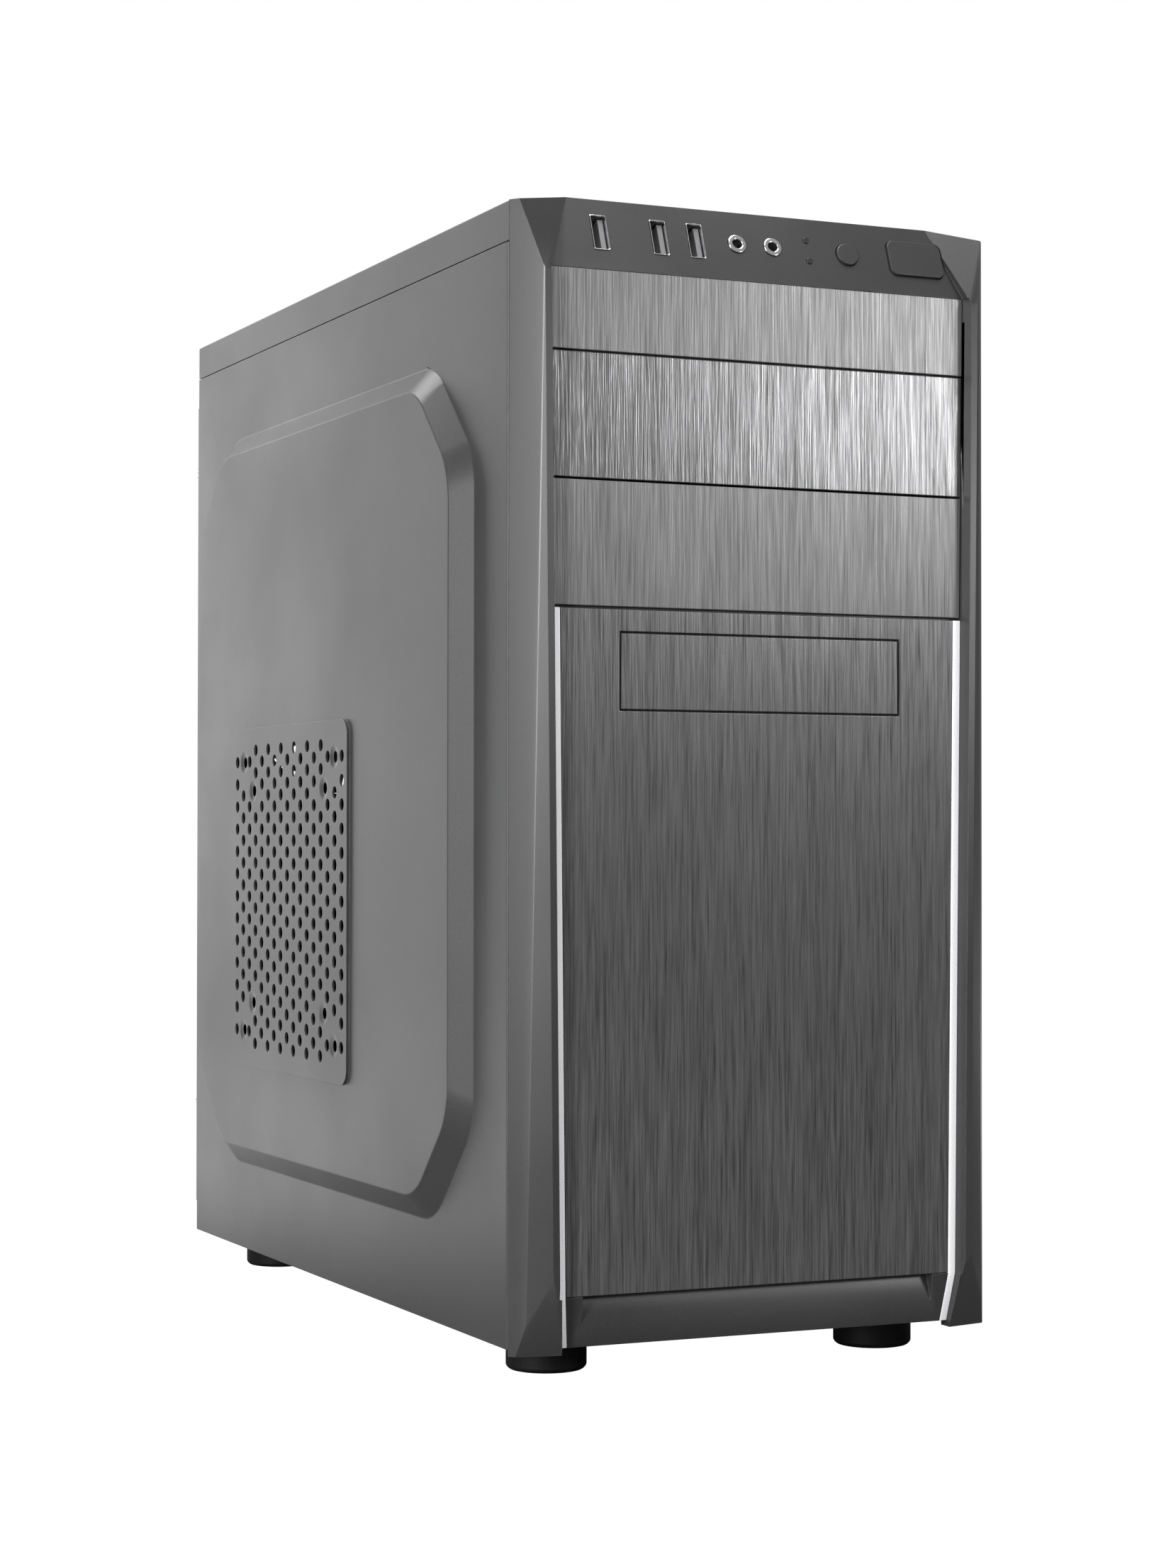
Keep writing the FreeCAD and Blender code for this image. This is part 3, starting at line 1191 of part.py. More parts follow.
# ---- Write every sub-part ----
def build():
    save("base_pan", base_pan())
    save("front_frame", front_frame())
    save("rear_panel", rear_panel())
    save("top_cover", top_cover())
    save("motherboard_tray", motherboard_tray())
    save("optical_bay_cage", optical_bay_cage())
    save("drive_bay_cage", drive_bay_cage())
    save("left_side_panel", side_panel(-1, True))
    save("right_side_panel", side_panel(1, False))
    for side, name in ((-1, "left"), (1, "right")):
        for (x, z), level in zip(thumb_places(side), ("lower", "upper")):
            save("thumbscrew_" + name + "_" + level, thumbscrew(x, z))
    save("light_strips", group([strip(-1), strip(1)]))
    save("front_bezel", front_bezel())
    save("brushed_top_strip", field(TOP_STRIP_LOW + COVER_GAP / 2, PORT_BASE, FIT, -INSERT_OUT, FLOOR_Y))
    save("bay_cover_upper", bay_cover(BAY_LOW + BAY_PITCH))
    save("bay_cover_lower", bay_cover(BAY_LOW))
    save("brushed_front_panel", brushed_front_panel())
    save("small_bay_cover", small_bay_cover())
    save("power_button", power_button())
    save("reset_button", reset_button())
    save("power_switch_plunger", plunger(POWER_X, POWER_S, POWER_TRAVEL))
    save("reset_switch_plunger", plunger(RESET_X, RESET_S, RESET_TRAVEL))
    save("front_switches", front_switches())
    save("usb_port_shells", usb_port_shells())
    save("usb_port_tongues", usb_port_tongues())
    save("audio_jacks", audio_jacks())
    save("lamp_pipes", lamp_pipes())
    save("front_port_board", front_port_board())
    save("feet", group([foot(x, y) for x, y in foot_places()]))
    save("foot_screws", foot_screws())
    save("hard_drive", hard_drive())
    save("drive_screws", drive_screws())

    frame, rotor = fan_at(fan_parts(REAR_FAN, FAN_T), FAN_X, REAR_IN, FAN_Z, (0, -1, 0))
    save("rear_fan_frame", frame)
    save("rear_fan_rotor", rotor)
    screws = fan_screws(FAN_X, BODY_D, FAN_Z, SMALL_FAN_BOLT, 10.0)
    screws += [pan_screw((x, BODY_D, z), (0, -1, 0), 6.0) for x, z in PSU_SCREWS]
    save("rear_panel_screws", group(screws))
    top = BOARD_IN - SINK_BASE - SINK_H - 15.0
    frame, rotor = fan_at(fan_parts(CPU_FAN, 15.0), top, CPU_Y, CPU_Z, (1, 0, 0))
    save("cpu_fan_frame", frame)
    save("cpu_fan_rotor", rotor)
    frame, rotor = fan_at(fan_parts(PSU_FAN, FAN_T), 0, PSU_FAN_Y, PSU_FAN_Z, (0, 0, 1))
    save("psu_fan_frame", frame)
    save("psu_fan_rotor", rotor)
    save("psu_case", psu_case())
    save("psu_inlet", psu_inlet())
    save("psu_inlet_pins", psu_inlet_pins())
    save("psu_switch_frame", psu_switch_frame())
    save("psu_rocker", psu_rocker())
    save("psu_fan_guard", psu_fan_guard())

    save("motherboard", motherboard())
    save("standoffs", standoffs())
    save("board_screws", board_screws())
    save("cpu_socket", group([cpu_socket(), processor()]))
    save("cpu_heatsink", group([cpu_heatsink(), sink_clips()]))
    save("memory_slots", memory_slots())
    save("memory_module", memory_module())
    save("expansion_sockets", expansion_sockets())
    save("chipset_heatsink", chipset_heatsink())
    save("board_fittings", group([coin_cell(), board_headers()]))
    save("board_connectors", board_connectors())
    save("io_shield", io_shield())
    save("expansion_slot_covers", slot_covers())


build()
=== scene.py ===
import json
import math

import bmesh
import bpy
from mathutils import Euler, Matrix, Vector

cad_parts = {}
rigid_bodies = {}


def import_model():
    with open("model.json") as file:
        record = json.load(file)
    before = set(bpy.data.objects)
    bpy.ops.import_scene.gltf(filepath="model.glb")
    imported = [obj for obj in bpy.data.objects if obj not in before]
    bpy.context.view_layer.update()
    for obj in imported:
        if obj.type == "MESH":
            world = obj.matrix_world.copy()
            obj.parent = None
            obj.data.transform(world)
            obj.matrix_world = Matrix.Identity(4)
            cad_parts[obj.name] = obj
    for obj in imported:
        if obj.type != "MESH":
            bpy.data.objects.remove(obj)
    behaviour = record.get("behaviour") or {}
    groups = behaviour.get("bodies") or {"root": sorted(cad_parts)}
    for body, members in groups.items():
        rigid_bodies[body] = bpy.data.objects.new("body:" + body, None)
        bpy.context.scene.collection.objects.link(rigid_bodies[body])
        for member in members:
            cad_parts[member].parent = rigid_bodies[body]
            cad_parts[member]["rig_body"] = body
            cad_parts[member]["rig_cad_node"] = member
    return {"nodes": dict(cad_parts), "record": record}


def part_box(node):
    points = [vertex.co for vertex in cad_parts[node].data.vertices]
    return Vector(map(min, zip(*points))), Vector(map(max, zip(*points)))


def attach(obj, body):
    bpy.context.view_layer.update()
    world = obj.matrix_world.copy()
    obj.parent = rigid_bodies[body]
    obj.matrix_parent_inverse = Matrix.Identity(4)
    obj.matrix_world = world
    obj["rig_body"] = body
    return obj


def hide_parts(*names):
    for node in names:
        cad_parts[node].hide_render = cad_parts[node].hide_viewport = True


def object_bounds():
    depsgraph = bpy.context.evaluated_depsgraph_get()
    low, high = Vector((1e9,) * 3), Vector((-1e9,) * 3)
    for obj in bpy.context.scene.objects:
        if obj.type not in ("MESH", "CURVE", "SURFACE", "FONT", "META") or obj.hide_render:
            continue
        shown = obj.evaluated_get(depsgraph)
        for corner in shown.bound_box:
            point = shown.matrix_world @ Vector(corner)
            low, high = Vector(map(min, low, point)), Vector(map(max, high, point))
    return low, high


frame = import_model()
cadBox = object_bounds()
caseNodes = frame["nodes"]
slotOfNode = {entry["node"]: entry["material_slot"] for entry in frame["record"]["subparts"]}
mm = 0.001
print("frame loaded:", len(caseNodes), "nodes")


# selection and mesh helpers
def deselectAll():
    for thing in list(bpy.context.selected_objects):
        thing.select_set(False)


def makeActive(piece):
    deselectAll()
    piece.select_set(True)
    bpy.context.view_layer.objects.active = piece


def applyModifiers(piece):
    makeActive(piece)
    for modifier in list(piece.modifiers):
        bpy.ops.object.modifier_apply(modifier=modifier.name)


def evenShading(piece):
    # large flat faces keep their own normals, so only the rounded edges shade smoothly
    weighted = piece.modifiers.new("evenShading", "WEIGHTED_NORMAL")
    weighted.mode = "FACE_AREA"
    weighted.weight = 100
    weighted.keep_sharp = True
    applyModifiers(piece)


def finishPiece(piece, node, smoothAngle=30):
    # smooth a finished piece by angle with even normals, hide its node and give the piece the node's body
    makeActive(piece)
    bpy.ops.object.shade_smooth_by_angle(angle=math.radians(smoothAngle))
    evenShading(piece)
    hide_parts(node)
    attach(piece, caseNodes[node]["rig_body"])
    return piece


joining = {"mergeGap": 0.004, "flatTurn": 0.6}


def copyOfNode(node):
    # a merged copy of a node, with its flat faces joined up again
    source = caseNodes[node]
    piece = source.copy()
    piece.data = source.data.copy()
    piece.name = node + "_shell"
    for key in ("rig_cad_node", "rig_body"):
        if key in piece:
            del piece[key]
    piece.parent = None
    bpy.context.scene.collection.objects.link(piece)
    makeActive(piece)
    if piece.data.has_custom_normals:
        bpy.ops.mesh.customdata_custom_splitnormals_clear()
    bpy.ops.object.mode_set(mode="EDIT")
    bpy.ops.mesh.select_all(action="SELECT")
    bpy.ops.mesh.remove_doubles(threshold=joining["mergeGap"] * mm)
    bpy.ops.mesh.dissolve_limited(angle_limit=math.radians(joining["flatTurn"]), delimit={"NORMAL"})
    bpy.ops.object.mode_set(mode="OBJECT")
    return piece


softening = {"steps": 2, "leastTurn": 28}


def softenEdges(piece, width):
    bevel = piece.modifiers.new("softEdges", "BEVEL")
    bevel.width = width
    bevel.segments = softening["steps"]
    bevel.limit_method = "ANGLE"
    bevel.angle_limit = math.radians(softening["leastTurn"])
    bevel.use_clamp_overlap = True
    bevel.miter_outer = "MITER_ARC"
    applyModifiers(piece)
    return piece


# shader node groups
def newGroup(name, inputs, outputs):
    group = bpy.data.node_groups.new(name, "ShaderNodeTree")
    for label, kind, value in inputs:
        socket = group.interface.new_socket(name=label, in_out="INPUT", socket_type=kind)
        if value is not None:
            socket.default_value = value
    for label, kind in outputs:
        group.interface.new_socket(name=label, in_out="OUTPUT", socket_type=kind)
    start = group.nodes.new("NodeGroupInput")
    end = group.nodes.new("NodeGroupOutput")
    return group, start, end


def addNode(tree, kind, values=None, links=None, **settings):
    node = tree.nodes.new(kind)
    for key, value in settings.items():
        setattr(node, key, value)
    for key, value in (values or {}).items():
        node.inputs[key].default_value = value
    for key, source in (links or {}).items():
        tree.links.new(source, node.inputs[key])
    return node


def mathNode(tree, operation, a, b=None, clamp=False):
    node = addNode(tree, "ShaderNodeMath", operation=operation, use_clamp=clamp)
    for index, value in enumerate((a, b)):
        if value is None:
            continue
        if isinstance(value, (int, float)):
            node.inputs[index].default_value = value
        else:
            tree.links.new(value, node.inputs[index])
    return node.outputs[0]


def scaledNoise(tree, vector, scale, detail=2.0, roughness=0.5):
    # noise whose three scales are in features per metre
    mapped = addNode(tree, "ShaderNodeMapping", {"Scale": scale}, {"Vector": vector})
    noise = addNode(tree, "ShaderNodeTexNoise", {"Scale": 1.0, "Detail": detail, "Roughness": roughness},
                    {"Vector": mapped.outputs[0]})
    return noise.outputs[0]


def spread(tree, value, low, high, outLow=0.0, outHigh=1.0):
    node = addNode(tree, "ShaderNodeMapRange",
                   {"From Min": low, "From Max": high, "To Min": outLow, "To Max": outHigh}, {"Value": value})
    return node.outputs[0]


hairlineScales = {"fine": (2600, 2600, 55), "coarse": (1250, 1250, 32), "broad": (190, 190, 9)}


def makeBrushedGroup():
    # long upright lines, fine and coarse, as on hairline-finished plastic
    group, start, end = newGroup("hairlines", [("Vector", "NodeSocketVector", None)],
                                 [("Lines", "NodeSocketFloat"), ("Height", "NodeSocketFloat")])
    place = start.outputs["Vector"]
    fine = scaledNoise(group, place, hairlineScales["fine"], 2.0, 0.6)
    coarse = scaledNoise(group, place, hairlineScales["coarse"], 2.0, 0.6)
    broad = scaledNoise(group, place, hairlineScales["broad"], 2.0, 0.5)
    mixed = mathNode(group, "ADD", mathNode(group, "MULTIPLY", spread(group, fine, 0.3, 0.7), 0.5),
                     mathNode(group, "MULTIPLY", spread(group, coarse, 0.32, 0.68), 0.5))
    lines = mathNode(group, "ADD", mathNode(group, "MULTIPLY", mixed, 0.85),
                     mathNode(group, "MULTIPLY", spread(group, broad, 0.3, 0.7), 0.15), clamp=True)
    group.links.new(lines, end.inputs["Lines"])
    group.links.new(mixed, end.inputs["Height"])
    return group


cloudScale = 11.0
wearScale = 240.0


def makeGrainGroup():
    # fine moulded or sprayed grain with slow, faint unevenness
    group, start, end = newGroup("fineGrain", [("Vector", "NodeSocketVector", None),
                                               ("Grain Size", "NodeSocketFloat", 0.6)],
                                 [("Height", "NodeSocketFloat"), ("Cloud", "NodeSocketFloat"),
                                  ("Speckle", "NodeSocketFloat")])
    size = start.outputs["Grain Size"]
    perMetre = mathNode(group, "DIVIDE", 1000.0, size)
    noise = addNode(group, "ShaderNodeTexNoise", {"Detail": 3.0, "Roughness": 0.6},
                    {"Vector": start.outputs["Vector"], "Scale": perMetre})
    voronoi = addNode(group, "ShaderNodeTexVoronoi", None,
                      {"Vector": start.outputs["Vector"], "Scale": perMetre})
    height = mathNode(group, "ADD", mathNode(group, "MULTIPLY", noise.outputs[0], 0.7),
                      mathNode(group, "MULTIPLY", voronoi.outputs[0], 0.3))
    cloud = addNode(group, "ShaderNodeTexNoise", {"Scale": cloudScale, "Detail": 4.0, "Roughness": 0.55},
                    {"Vector": start.outputs["Vector"]})
    group.links.new(height, end.inputs["Height"])
    group.links.new(cloud.outputs[0], end.inputs["Cloud"])
    group.links.new(spread(group, noise.outputs[0], 0.35, 0.65), end.inputs["Speckle"])
    return group


def makeWearGroup():
    # mask of rubbed edges, broken up by noise
    group, start, end = newGroup("rubbedEdges", [("Vector", "NodeSocketVector", None),
                                                 ("Width", "NodeSocketFloat", 0.0006),
                                                 ("Amount", "NodeSocketFloat", 0.5)],
                                 [("Mask", "NodeSocketFloat")])
    bevel = addNode(group, "ShaderNodeBevel", None, {"Radius": start.outputs["Width"]}, samples=4)
    geometry = addNode(group, "ShaderNodeNewGeometry")
    dot = addNode(group, "ShaderNodeVectorMath", None,
                  {0: bevel.outputs[0], 1: geometry.outputs["Normal"]}, operation="DOT_PRODUCT")
    turned = mathNode(group, "SUBTRACT", 1.0, dot.outputs["Value"], clamp=True)
    broken = addNode(group, "ShaderNodeTexNoise", {"Scale": wearScale, "Detail": 3.0},
                     {"Vector": start.outputs["Vector"]})
    mask = mathNode(group, "MULTIPLY", spread(group, turned, 0.01, 0.2),
                    spread(group, broken.outputs[0], 0.35, 0.6))
    mask = mathNode(group, "MULTIPLY", mask, start.outputs["Amount"], clamp=True)
    group.links.new(mask, end.inputs["Mask"])
    return group


hairlines = makeBrushedGroup()
fineGrain = makeGrainGroup()
rubbedEdges = makeWearGroup()


def useGroup(tree, group, vector, values=None):
    node = addNode(tree, "ShaderNodeGroup", node_tree=group)
    for key, value in (values or {}).items():
        node.inputs[key].default_value = value
    tree.links.new(vector, node.inputs["Vector"])
    return node


def mixColour(tree, factor, first, second):
    node = addNode(tree, "ShaderNodeMix", data_type="RGBA")
    for key, value in (("Factor", factor), ("A", first), ("B", second)):
        sockets = [s for s in node.inputs if s.name == key and s.enabled]
        if isinstance(value, (tuple, list)):
            sockets[0].default_value = (*value, 1.0) if len(value) == 3 else value
        elif isinstance(value, (int, float)):
            sockets[0].default_value = value
        else:
            tree.links.new(value, sockets[0])
    return [s for s in node.outputs if s.enabled][0]


def startMaterial(name, metallic=0.0, specular=0.5):
    material = bpy.data.materials.new(name)
    material.use_nodes = True
    tree = material.node_tree
    shader = tree.nodes["Principled BSDF"]
    shader.inputs["Metallic"].default_value = metallic
    shader.inputs["Specular IOR Level"].default_value = specular
    place = addNode(tree, "ShaderNodeTexCoord").outputs["Object"]
    return material, tree, shader, place


rounding = {"radius": 0.25, "wearWidth": 0.5}


def grainyMaterial(name, dark, light, roughness, grain, depth, worn=None, wear=0.3, metallic=0.0,
                   specular=0.5):
    # moulded plastic, powder coat, cast metal: grain, clouding and rubbed edges
    material, tree, shader, place = startMaterial(name, metallic, specular)
    texture = useGroup(tree, fineGrain, place, {"Grain Size": grain})
    colour = mixColour(tree, spread(tree, texture.outputs["Cloud"], 0.3, 0.7), dark, light)
    speckle = tuple(min(1.0, part * 1.5 + 0.004) for part in light)
    colour = mixColour(tree, mathNode(tree, "MULTIPLY", texture.outputs["Speckle"], 0.3), colour, speckle)
    unevenness = spread(tree, texture.outputs["Cloud"], 0.25, 0.75, -0.06, 0.06)
    rough = mathNode(tree, "ADD", unevenness, roughness)
    if worn:
        edges = useGroup(tree, rubbedEdges, place, {"Width": rounding["wearWidth"] * mm, "Amount": wear})
        colour = mixColour(tree, edges.outputs["Mask"], colour, worn)
    tree.links.new(colour, shader.inputs["Base Color"])
    tree.links.new(rough, shader.inputs["Roughness"])
    rounded = addNode(tree, "ShaderNodeBevel", {"Radius": rounding["radius"] * mm}, samples=4)
    bump = addNode(tree, "ShaderNodeBump", {"Strength": 1.0, "Distance": depth * mm},
                   {"Height": texture.outputs["Height"], "Normal": rounded.outputs[0]})
    tree.links.new(bump.outputs[0], shader.inputs["Normal"])
    return material


def brushedMaterial(name, dark, light, roughness, depth, metallic=0.0, specular=0.5):
    # upright hairlines: they vary colour, gloss and relief together
    material, tree, shader, place = startMaterial(name, metallic, specular)
    shader.inputs["Anisotropic"].default_value = 0.4
    across = addNode(tree, "ShaderNodeTangent", direction_type="RADIAL", axis="Z")
    tree.links.new(across.outputs[0], shader.inputs["Tangent"])
    lines = useGroup(tree, hairlines, place)
    colour = mixColour(tree, lines.outputs["Lines"], dark, light)
    rough = spread(tree, lines.outputs["Lines"], 0.0, 1.0, roughness + 0.09, roughness - 0.07)
    tree.links.new(colour, shader.inputs["Base Color"])
    tree.links.new(rough, shader.inputs["Roughness"])
    bump = addNode(tree, "ShaderNodeBump", {"Strength": 1.0, "Distance": depth * mm},
                   {"Height": lines.outputs["Height"]})
    tree.links.new(bump.outputs[0], shader.inputs["Normal"])
    return material


def grey(value):
    return (value, value, value * 1.02)


finishes = {
    "case_steel": grainyMaterial("blackPowderCoat", grey(0.020), grey(0.025), 0.36, 0.7, 0.010,
                                 grey(0.25), 0.25, specular=0.3),
    "side_panel_paint": grainyMaterial("satinPowderCoat", grey(0.020), grey(0.025), 0.36, 0.7, 0.010,
                                       grey(0.28), 0.25, specular=0.3),
    "bezel_plastic": grainyMaterial("grainedBlackPlastic", grey(0.016), grey(0.020), 0.33, 0.5, 0.010,
                                    grey(0.12), 0.30, specular=0.35),
    "pale_strip": grainyMaterial("paleStrip", grey(0.58), grey(0.64), 0.35, 0.5, 0.004),
    "button_plastic": grainyMaterial("satinButtonPlastic", grey(0.016), grey(0.020), 0.33, 0.5, 0.006,
                                     grey(0.12), 0.25, specular=0.35),
    "black_plastic": grainyMaterial("plainBlackPlastic", grey(0.020), grey(0.026), 0.45, 0.6, 0.010),
    "port_chrome": grainyMaterial("brightPlating", grey(0.74), grey(0.80), 0.16, 0.8, 0.002, metallic=1.0),
    "port_tongue": grainyMaterial("tonguePlastic", grey(0.070), grey(0.085), 0.35, 0.5, 0.004),
    "lamp_plastic": grainyMaterial("lampPlastic", grey(0.010), grey(0.014), 0.22, 0.5, 0.002),
    "foot_rubber": grainyMaterial("footRubber", grey(0.003), grey(0.005), 0.62, 0.8, 0.020, specular=0.1),
    "screw_steel": grainyMaterial("platedSteel", grey(0.48), grey(0.56), 0.28, 0.4, 0.004, metallic=1.0),
    "zinc_steel": grainyMaterial("zincSteel", grey(0.30), grey(0.40), 0.38, 6.0, 0.004, metallic=1.0),
    "connector_shell": grainyMaterial("tinnedShell", grey(0.55), grey(0.62), 0.30, 0.6, 0.003, metallic=1.0),
    "brass": grainyMaterial("turnedBrass", (0.66, 0.47, 0.20), (0.76, 0.56, 0.27), 0.30, 0.4, 0.003,
                            metallic=1.0),
    "drive_metal": grainyMaterial("castDriveMetal", grey(0.50), grey(0.58), 0.42, 0.8, 0.012, metallic=1.0),
    "heatsink_metal": grainyMaterial("extrudedFins", grey(0.62), grey(0.70), 0.34, 0.6, 0.004, metallic=1.0),
    "psu_paint": grainyMaterial("supplyPaint", grey(0.10), grey(0.12), 0.40, 0.6, 0.010, grey(0.3), 0.25),
    "guard_wire": grainyMaterial("guardPlating", grey(0.62), grey(0.70), 0.22, 0.6, 0.002, metallic=1.0),
    "fan_plastic": grainyMaterial("fanFramePlastic", grey(0.018), grey(0.024), 0.42, 0.6, 0.010),
    "rotor_plastic": grainyMaterial("rotorPlastic", grey(0.030), grey(0.036), 0.32, 0.6, 0.004),
    "circuit_board": grainyMaterial("solderMask", (0.010, 0.075, 0.035), (0.014, 0.095, 0.045), 0.30, 1.2,
                                    0.008),
}
hairlineInserts = {
    "brushed_top_strip": brushedMaterial("hairlineStrip", grey(0.028), grey(0.140), 0.30, 0.030, 0.25),
    "bay_cover_upper": brushedMaterial("hairlineCover", grey(0.012), grey(0.150), 0.22, 0.045, 0.60),
    "bay_cover_lower": brushedMaterial("hairlineLowerCover", grey(0.028), grey(0.135), 0.31, 0.030, 0.25),
    "brushed_front_panel": brushedMaterial("hairlinePanel", grey(0.014), grey(0.150), 0.30, 0.034, 0.65),
    "small_bay_cover": brushedMaterial("hairlineSmallCover", grey(0.014), grey(0.155), 0.30, 0.034, 0.65),
}
print("materials made:", len(finishes) + len(hairlineInserts))


def paint(piece, node):
    piece.data.materials.clear()
    finish = hairlineInserts[node] if node in hairlineInserts else finishes[slotOfNode[node]]
    piece.data.materials.append(finish)


for node, part in caseNodes.items():
    paint(part, node)


# pieces that get soft edges
softPieces = {
    "front_bezel": 0.35,
    "brushed_top_strip": 0.30,
    "bay_cover_upper": 0.30,
    "bay_cover_lower": 0.30,
    "brushed_front_panel": 0.25,
    "small_bay_cover": 0.30,
    "power_button": 0.30,
    "reset_button": 0.35,
    "feet": 0.50,
    "light_strips": 0.20,
    "top_cover": 0.15,
    "usb_port_shells": 0.12,
    "audio_jacks": 0.35,
    "psu_inlet": 0.30,
    "psu_switch_frame": 0.25,
    "psu_rocker": 0.30,
    "rear_fan_frame": 0.40,
    "cpu_fan_frame": 0.40,
    "psu_fan_frame": 0.40,
    "psu_case": 0.25,
    "expansion_slot_covers": 0.15,
    "io_shield": 0.12,
    "board_connectors": 0.20,
    "hard_drive": 0.30,
    "memory_slots": 0.25,
    "expansion_sockets": 0.25,
    "thumbscrew_left_lower": 0.20,
    "thumbscrew_left_upper": 0.20,
    "thumbscrew_right_lower": 0.20,
    "thumbscrew_right_upper": 0.20,
}


def makeSoftPieces():
    for node, width in softPieces.items():
        piece = softenEdges(copyOfNode(node), width * mm)
        paint(piece, node)
        finishPiece(piece, node)
    print("softened", len(softPieces), "pieces")


makeSoftPieces()


# side panels with pressed, rounded folds
sideSkin = {
    "cornerTurn": (20, 33), "cornerRound": 9.0, "cornerSteps": 4,
    "foldTurn": (34, 44), "foldRound": 2.8, "foldSteps": 4,
    "rimTurn": (80, 100), "rimRound": 0.45, "rimSteps": 3, "rimSlack": 0.05, "rimLength": 1.5,
    "shortestEdge": 5.0, "smoothTurn": 24,
}


def selectTurns(piece, turn, longEnough, test=None):
    # select the edges whose two faces meet at an angle in the range, in degrees
    makeActive(piece)
    bpy.ops.object.mode_set(mode="EDIT")
    bpy.ops.mesh.select_mode(type="EDGE")
    bpy.ops.mesh.select_all(action="DESELECT")
    mesh = bmesh.from_edit_mesh(piece.data)
    count = 0
    for edge in mesh.edges:
        if len(edge.link_faces) != 2 or edge.calc_length() < longEnough * mm:
            continue
        angle = math.degrees(edge.calc_face_angle())
        if turn[0] < angle < turn[1] and (test is None or test(edge)):
            edge.select = True
            count += 1
    mesh.select_flush_mode()
    bmesh.update_edit_mesh(piece.data)
    return count


def roundTurns(piece, turn, width, steps, longEnough=0.0, test=None):
    count = selectTurns(piece, turn, longEnough, test)
    if count:
        bpy.ops.mesh.bevel(offset=width * mm, segments=steps, affect="EDGES", clamp_overlap=True)
    bpy.ops.object.mode_set(mode="OBJECT")
    return count


def makeSideSkins():
    for side in ("left", "right"):
        node = side + "_side_panel"
        piece = copyOfNode(node)
        corners = roundTurns(piece, sideSkin["cornerTurn"], sideSkin["cornerRound"], sideSkin["cornerSteps"],
                             sideSkin["shortestEdge"])
        folds = roundTurns(piece, sideSkin["foldTurn"], sideSkin["foldRound"], sideSkin["foldSteps"])
        low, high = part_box(node)
        face = low.x if side == "left" else high.x

        def onRim(edge):
            flush = all(abs(corner.co.x - face) < sideSkin["rimSlack"] * mm for corner in edge.verts)
            return flush and edge.calc_length() > sideSkin["rimLength"] * mm

        rims = roundTurns(piece, sideSkin["rimTurn"], sideSkin["rimRound"], sideSkin["rimSteps"], 0.0, onRim)
        print(node, "corners", corners, "folds", folds, "rims", rims)
        paint(piece, node)
        finishPiece(piece, node, sideSkin["smoothTurn"])


makeSideSkins()


# studio
def makeFloor():
    # dark near the front and white behind, where the side panel mirrors it; evenly white to the camera
    floor = {"size": 9.0, "near": (0.12, 0.12, 0.12), "far": (0.90, 0.90, 0.90), "turn": (0.0, 0.5),
             "share": 0.96, "glow": 1.06}
    deselectAll()
    bpy.ops.mesh.primitive_plane_add(size=floor["size"], location=(0, 0, cadBox[0].z - 0.0002))
    plane = bpy.context.active_object
    plane.name = "studioFloor"
    material, tree, shader, place = startMaterial("paleFloor", 0.0, 0.2)
    cloud = addNode(tree, "ShaderNodeTexNoise", {"Scale": 3.0, "Detail": 4.0}, {"Vector": place})
    parts = addNode(tree, "ShaderNodeSeparateXYZ", None, {"Vector": place})
    depth = mathNode(tree, "ADD", parts.outputs["Y"], mathNode(tree, "MULTIPLY", cloud.outputs[0], 0.02))
    colour = mixColour(tree, spread(tree, depth, *floor["turn"]), floor["near"], floor["far"])
    tree.links.new(colour, shader.inputs["Base Color"])
    shader.inputs["Roughness"].default_value = 0.85
    glow = addNode(tree, "ShaderNodeEmission", {"Color": (1.0, 1.0, 1.0, 1.0), "Strength": floor["glow"]})
    seen = addNode(tree, "ShaderNodeLightPath")
    share = mathNode(tree, "MULTIPLY", seen.outputs["Is Camera Ray"], floor["share"])
    both = addNode(tree, "ShaderNodeMixShader", None,
                   {0: share, 1: shader.outputs[0], 2: glow.outputs[0]})
    tree.links.new(both.outputs[0], tree.nodes["Material Output"].inputs["Surface"])
    plane.data.materials.append(material)


def aimAt(thing, target):
    direction = Vector(target) - thing.location
    thing.rotation_euler = direction.to_track_quat("-Z", "Y").to_euler()


def addSoftbox(name, location, target, size, power):
    light = bpy.data.lights.new(name, "AREA")
    light.shape = "RECTANGLE"
    light.size = size[0]
    light.size_y = size[1]
    light.energy = power
    lamp = bpy.data.objects.new(name, light)
    bpy.context.scene.collection.objects.link(lamp)
    lamp.location = location
    aimAt(lamp, target)
    return lamp


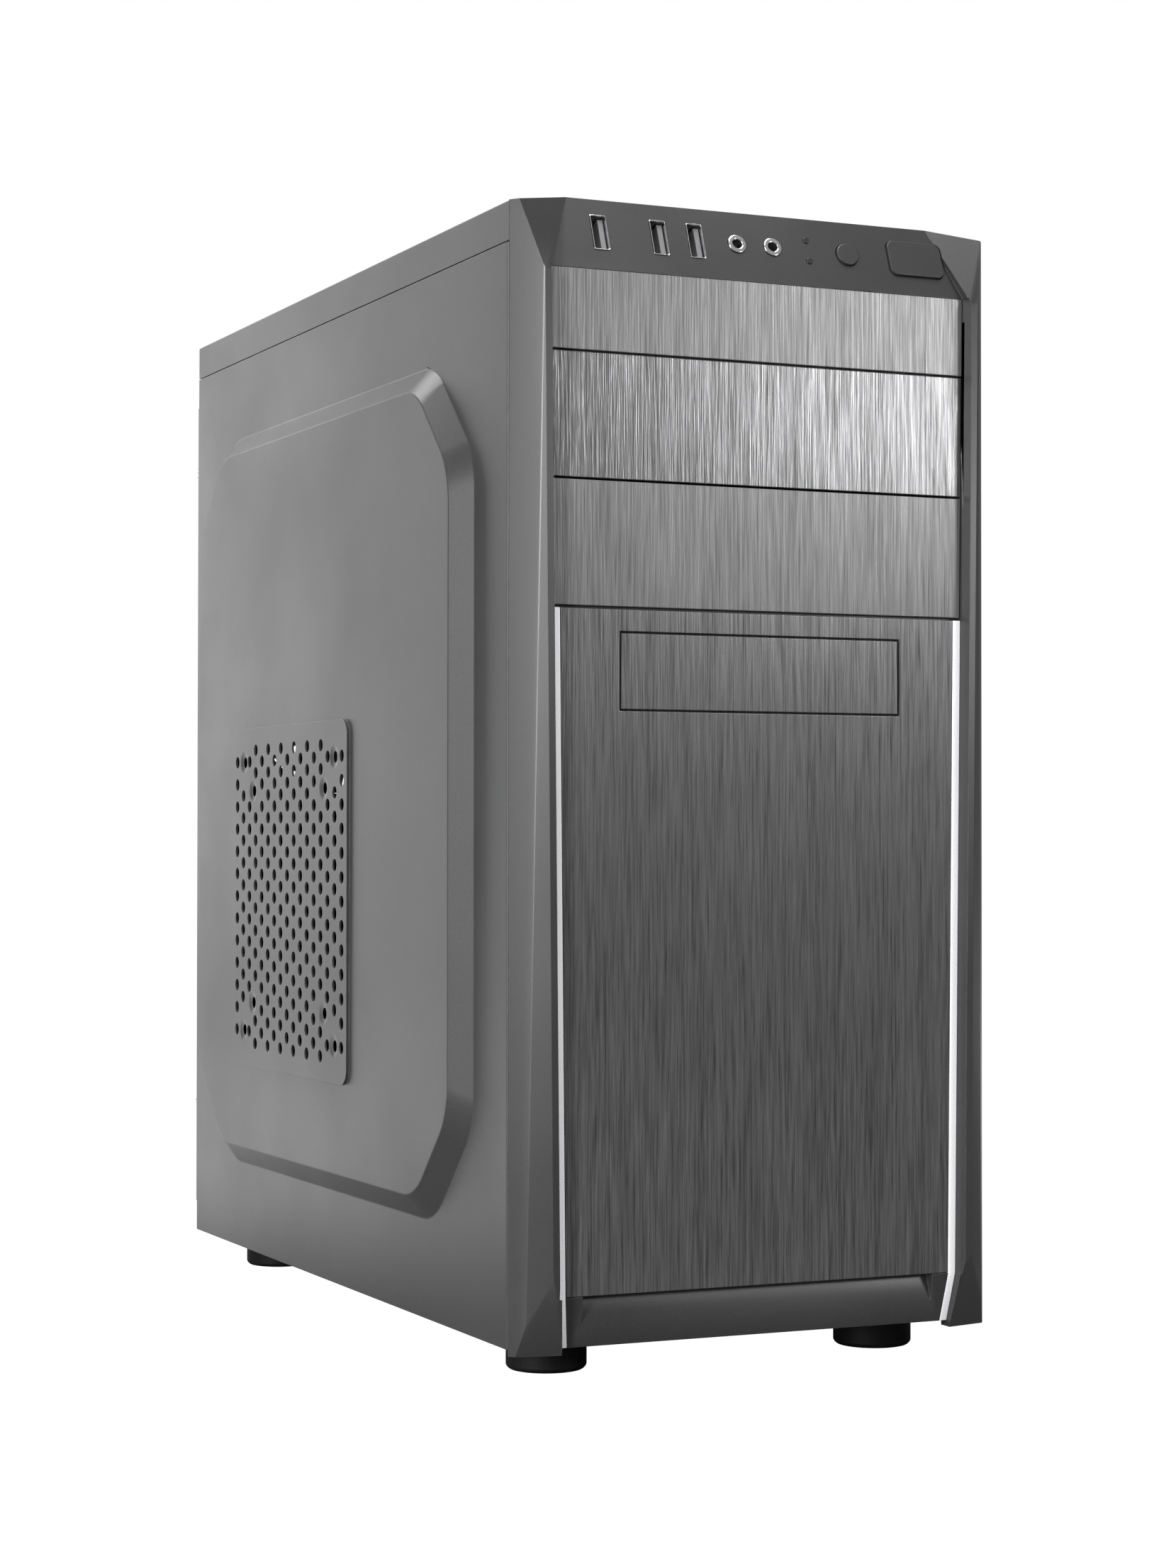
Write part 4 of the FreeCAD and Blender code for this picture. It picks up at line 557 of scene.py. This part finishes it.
softboxes = {
    "rearLeft": {"at": (-0.45, 1.75, 0.60), "to": (-0.09, 0.03, 0.2), "size": (0.65, 1.1), "power": 5.4},
    "rearFloor": {"at": (-0.75, 1.10, 1.60), "to": (-0.45, 0.95, 0.0), "size": (0.8, 0.8), "power": 20.0},
    "left": {"at": (-2.0, -0.35, 0.45), "to": (-0.09, -0.17, 0.2), "size": (0.5, 1.2), "power": 11.0},
    "frontRightGlow": {"at": (0.98, -1.36, 0.60), "to": (0.03, -0.17, 0.30), "size": (0.40, 0.35),
                       "power": 11.0},
    "overhead": {"at": (0.0, -0.5, 2.0), "to": (0, 0, 0.3), "size": (1.2, 1.2), "power": 72.0},
    "edgeLeft": {"at": (-1.48, -1.02, 0.35), "to": (-0.09, -0.17, 0.2), "size": (0.25, 1.2), "power": 63.0},
}
studioGlow = {"seen": 1.0, "cast": 0.25}


def makeStudio():
    makeFloor()
    for name, box in softboxes.items():
        addSoftbox(name, box["at"], box["to"], box["size"], box["power"])
    world = bpy.data.worlds.new("paleStudio")
    world.use_nodes = True
    tree = world.node_tree
    sky = tree.nodes["Background"]
    sky.inputs["Color"].default_value = (1.0, 1.0, 1.0, 1.0)
    seen = addNode(tree, "ShaderNodeLightPath")
    strength = addNode(tree, "ShaderNodeMapRange",
                       {"To Min": studioGlow["cast"], "To Max": studioGlow["seen"]},
                       {"Value": seen.outputs["Is Camera Ray"]})
    tree.links.new(strength.outputs[0], sky.inputs["Strength"])
    bpy.context.scene.world = world
    bpy.context.scene.view_settings.view_transform = "Standard"


def makeCamera():
    shot = {"place": (-0.474731, -1.083876, 0.176850), "yaw": 24.305, "pitch": 0.96, "roll": -0.05,
            "lens": 71.10}
    camera = bpy.data.cameras.new("studioCamera")
    camera.sensor_width = 36.0
    camera.lens = shot["lens"]
    camera.clip_start = 0.01
    camera.clip_end = 50.0
    holder = bpy.data.objects.new("studioCamera", camera)
    bpy.context.scene.collection.objects.link(holder)
    holder.location = shot["place"]
    holder.rotation_euler = Euler((math.radians(90 + shot["pitch"]), math.radians(shot["roll"]),
                                   math.radians(-shot["yaw"])), "XYZ")
    bpy.context.scene.camera = holder


makeStudio()
makeCamera()
print("studio and camera ready")
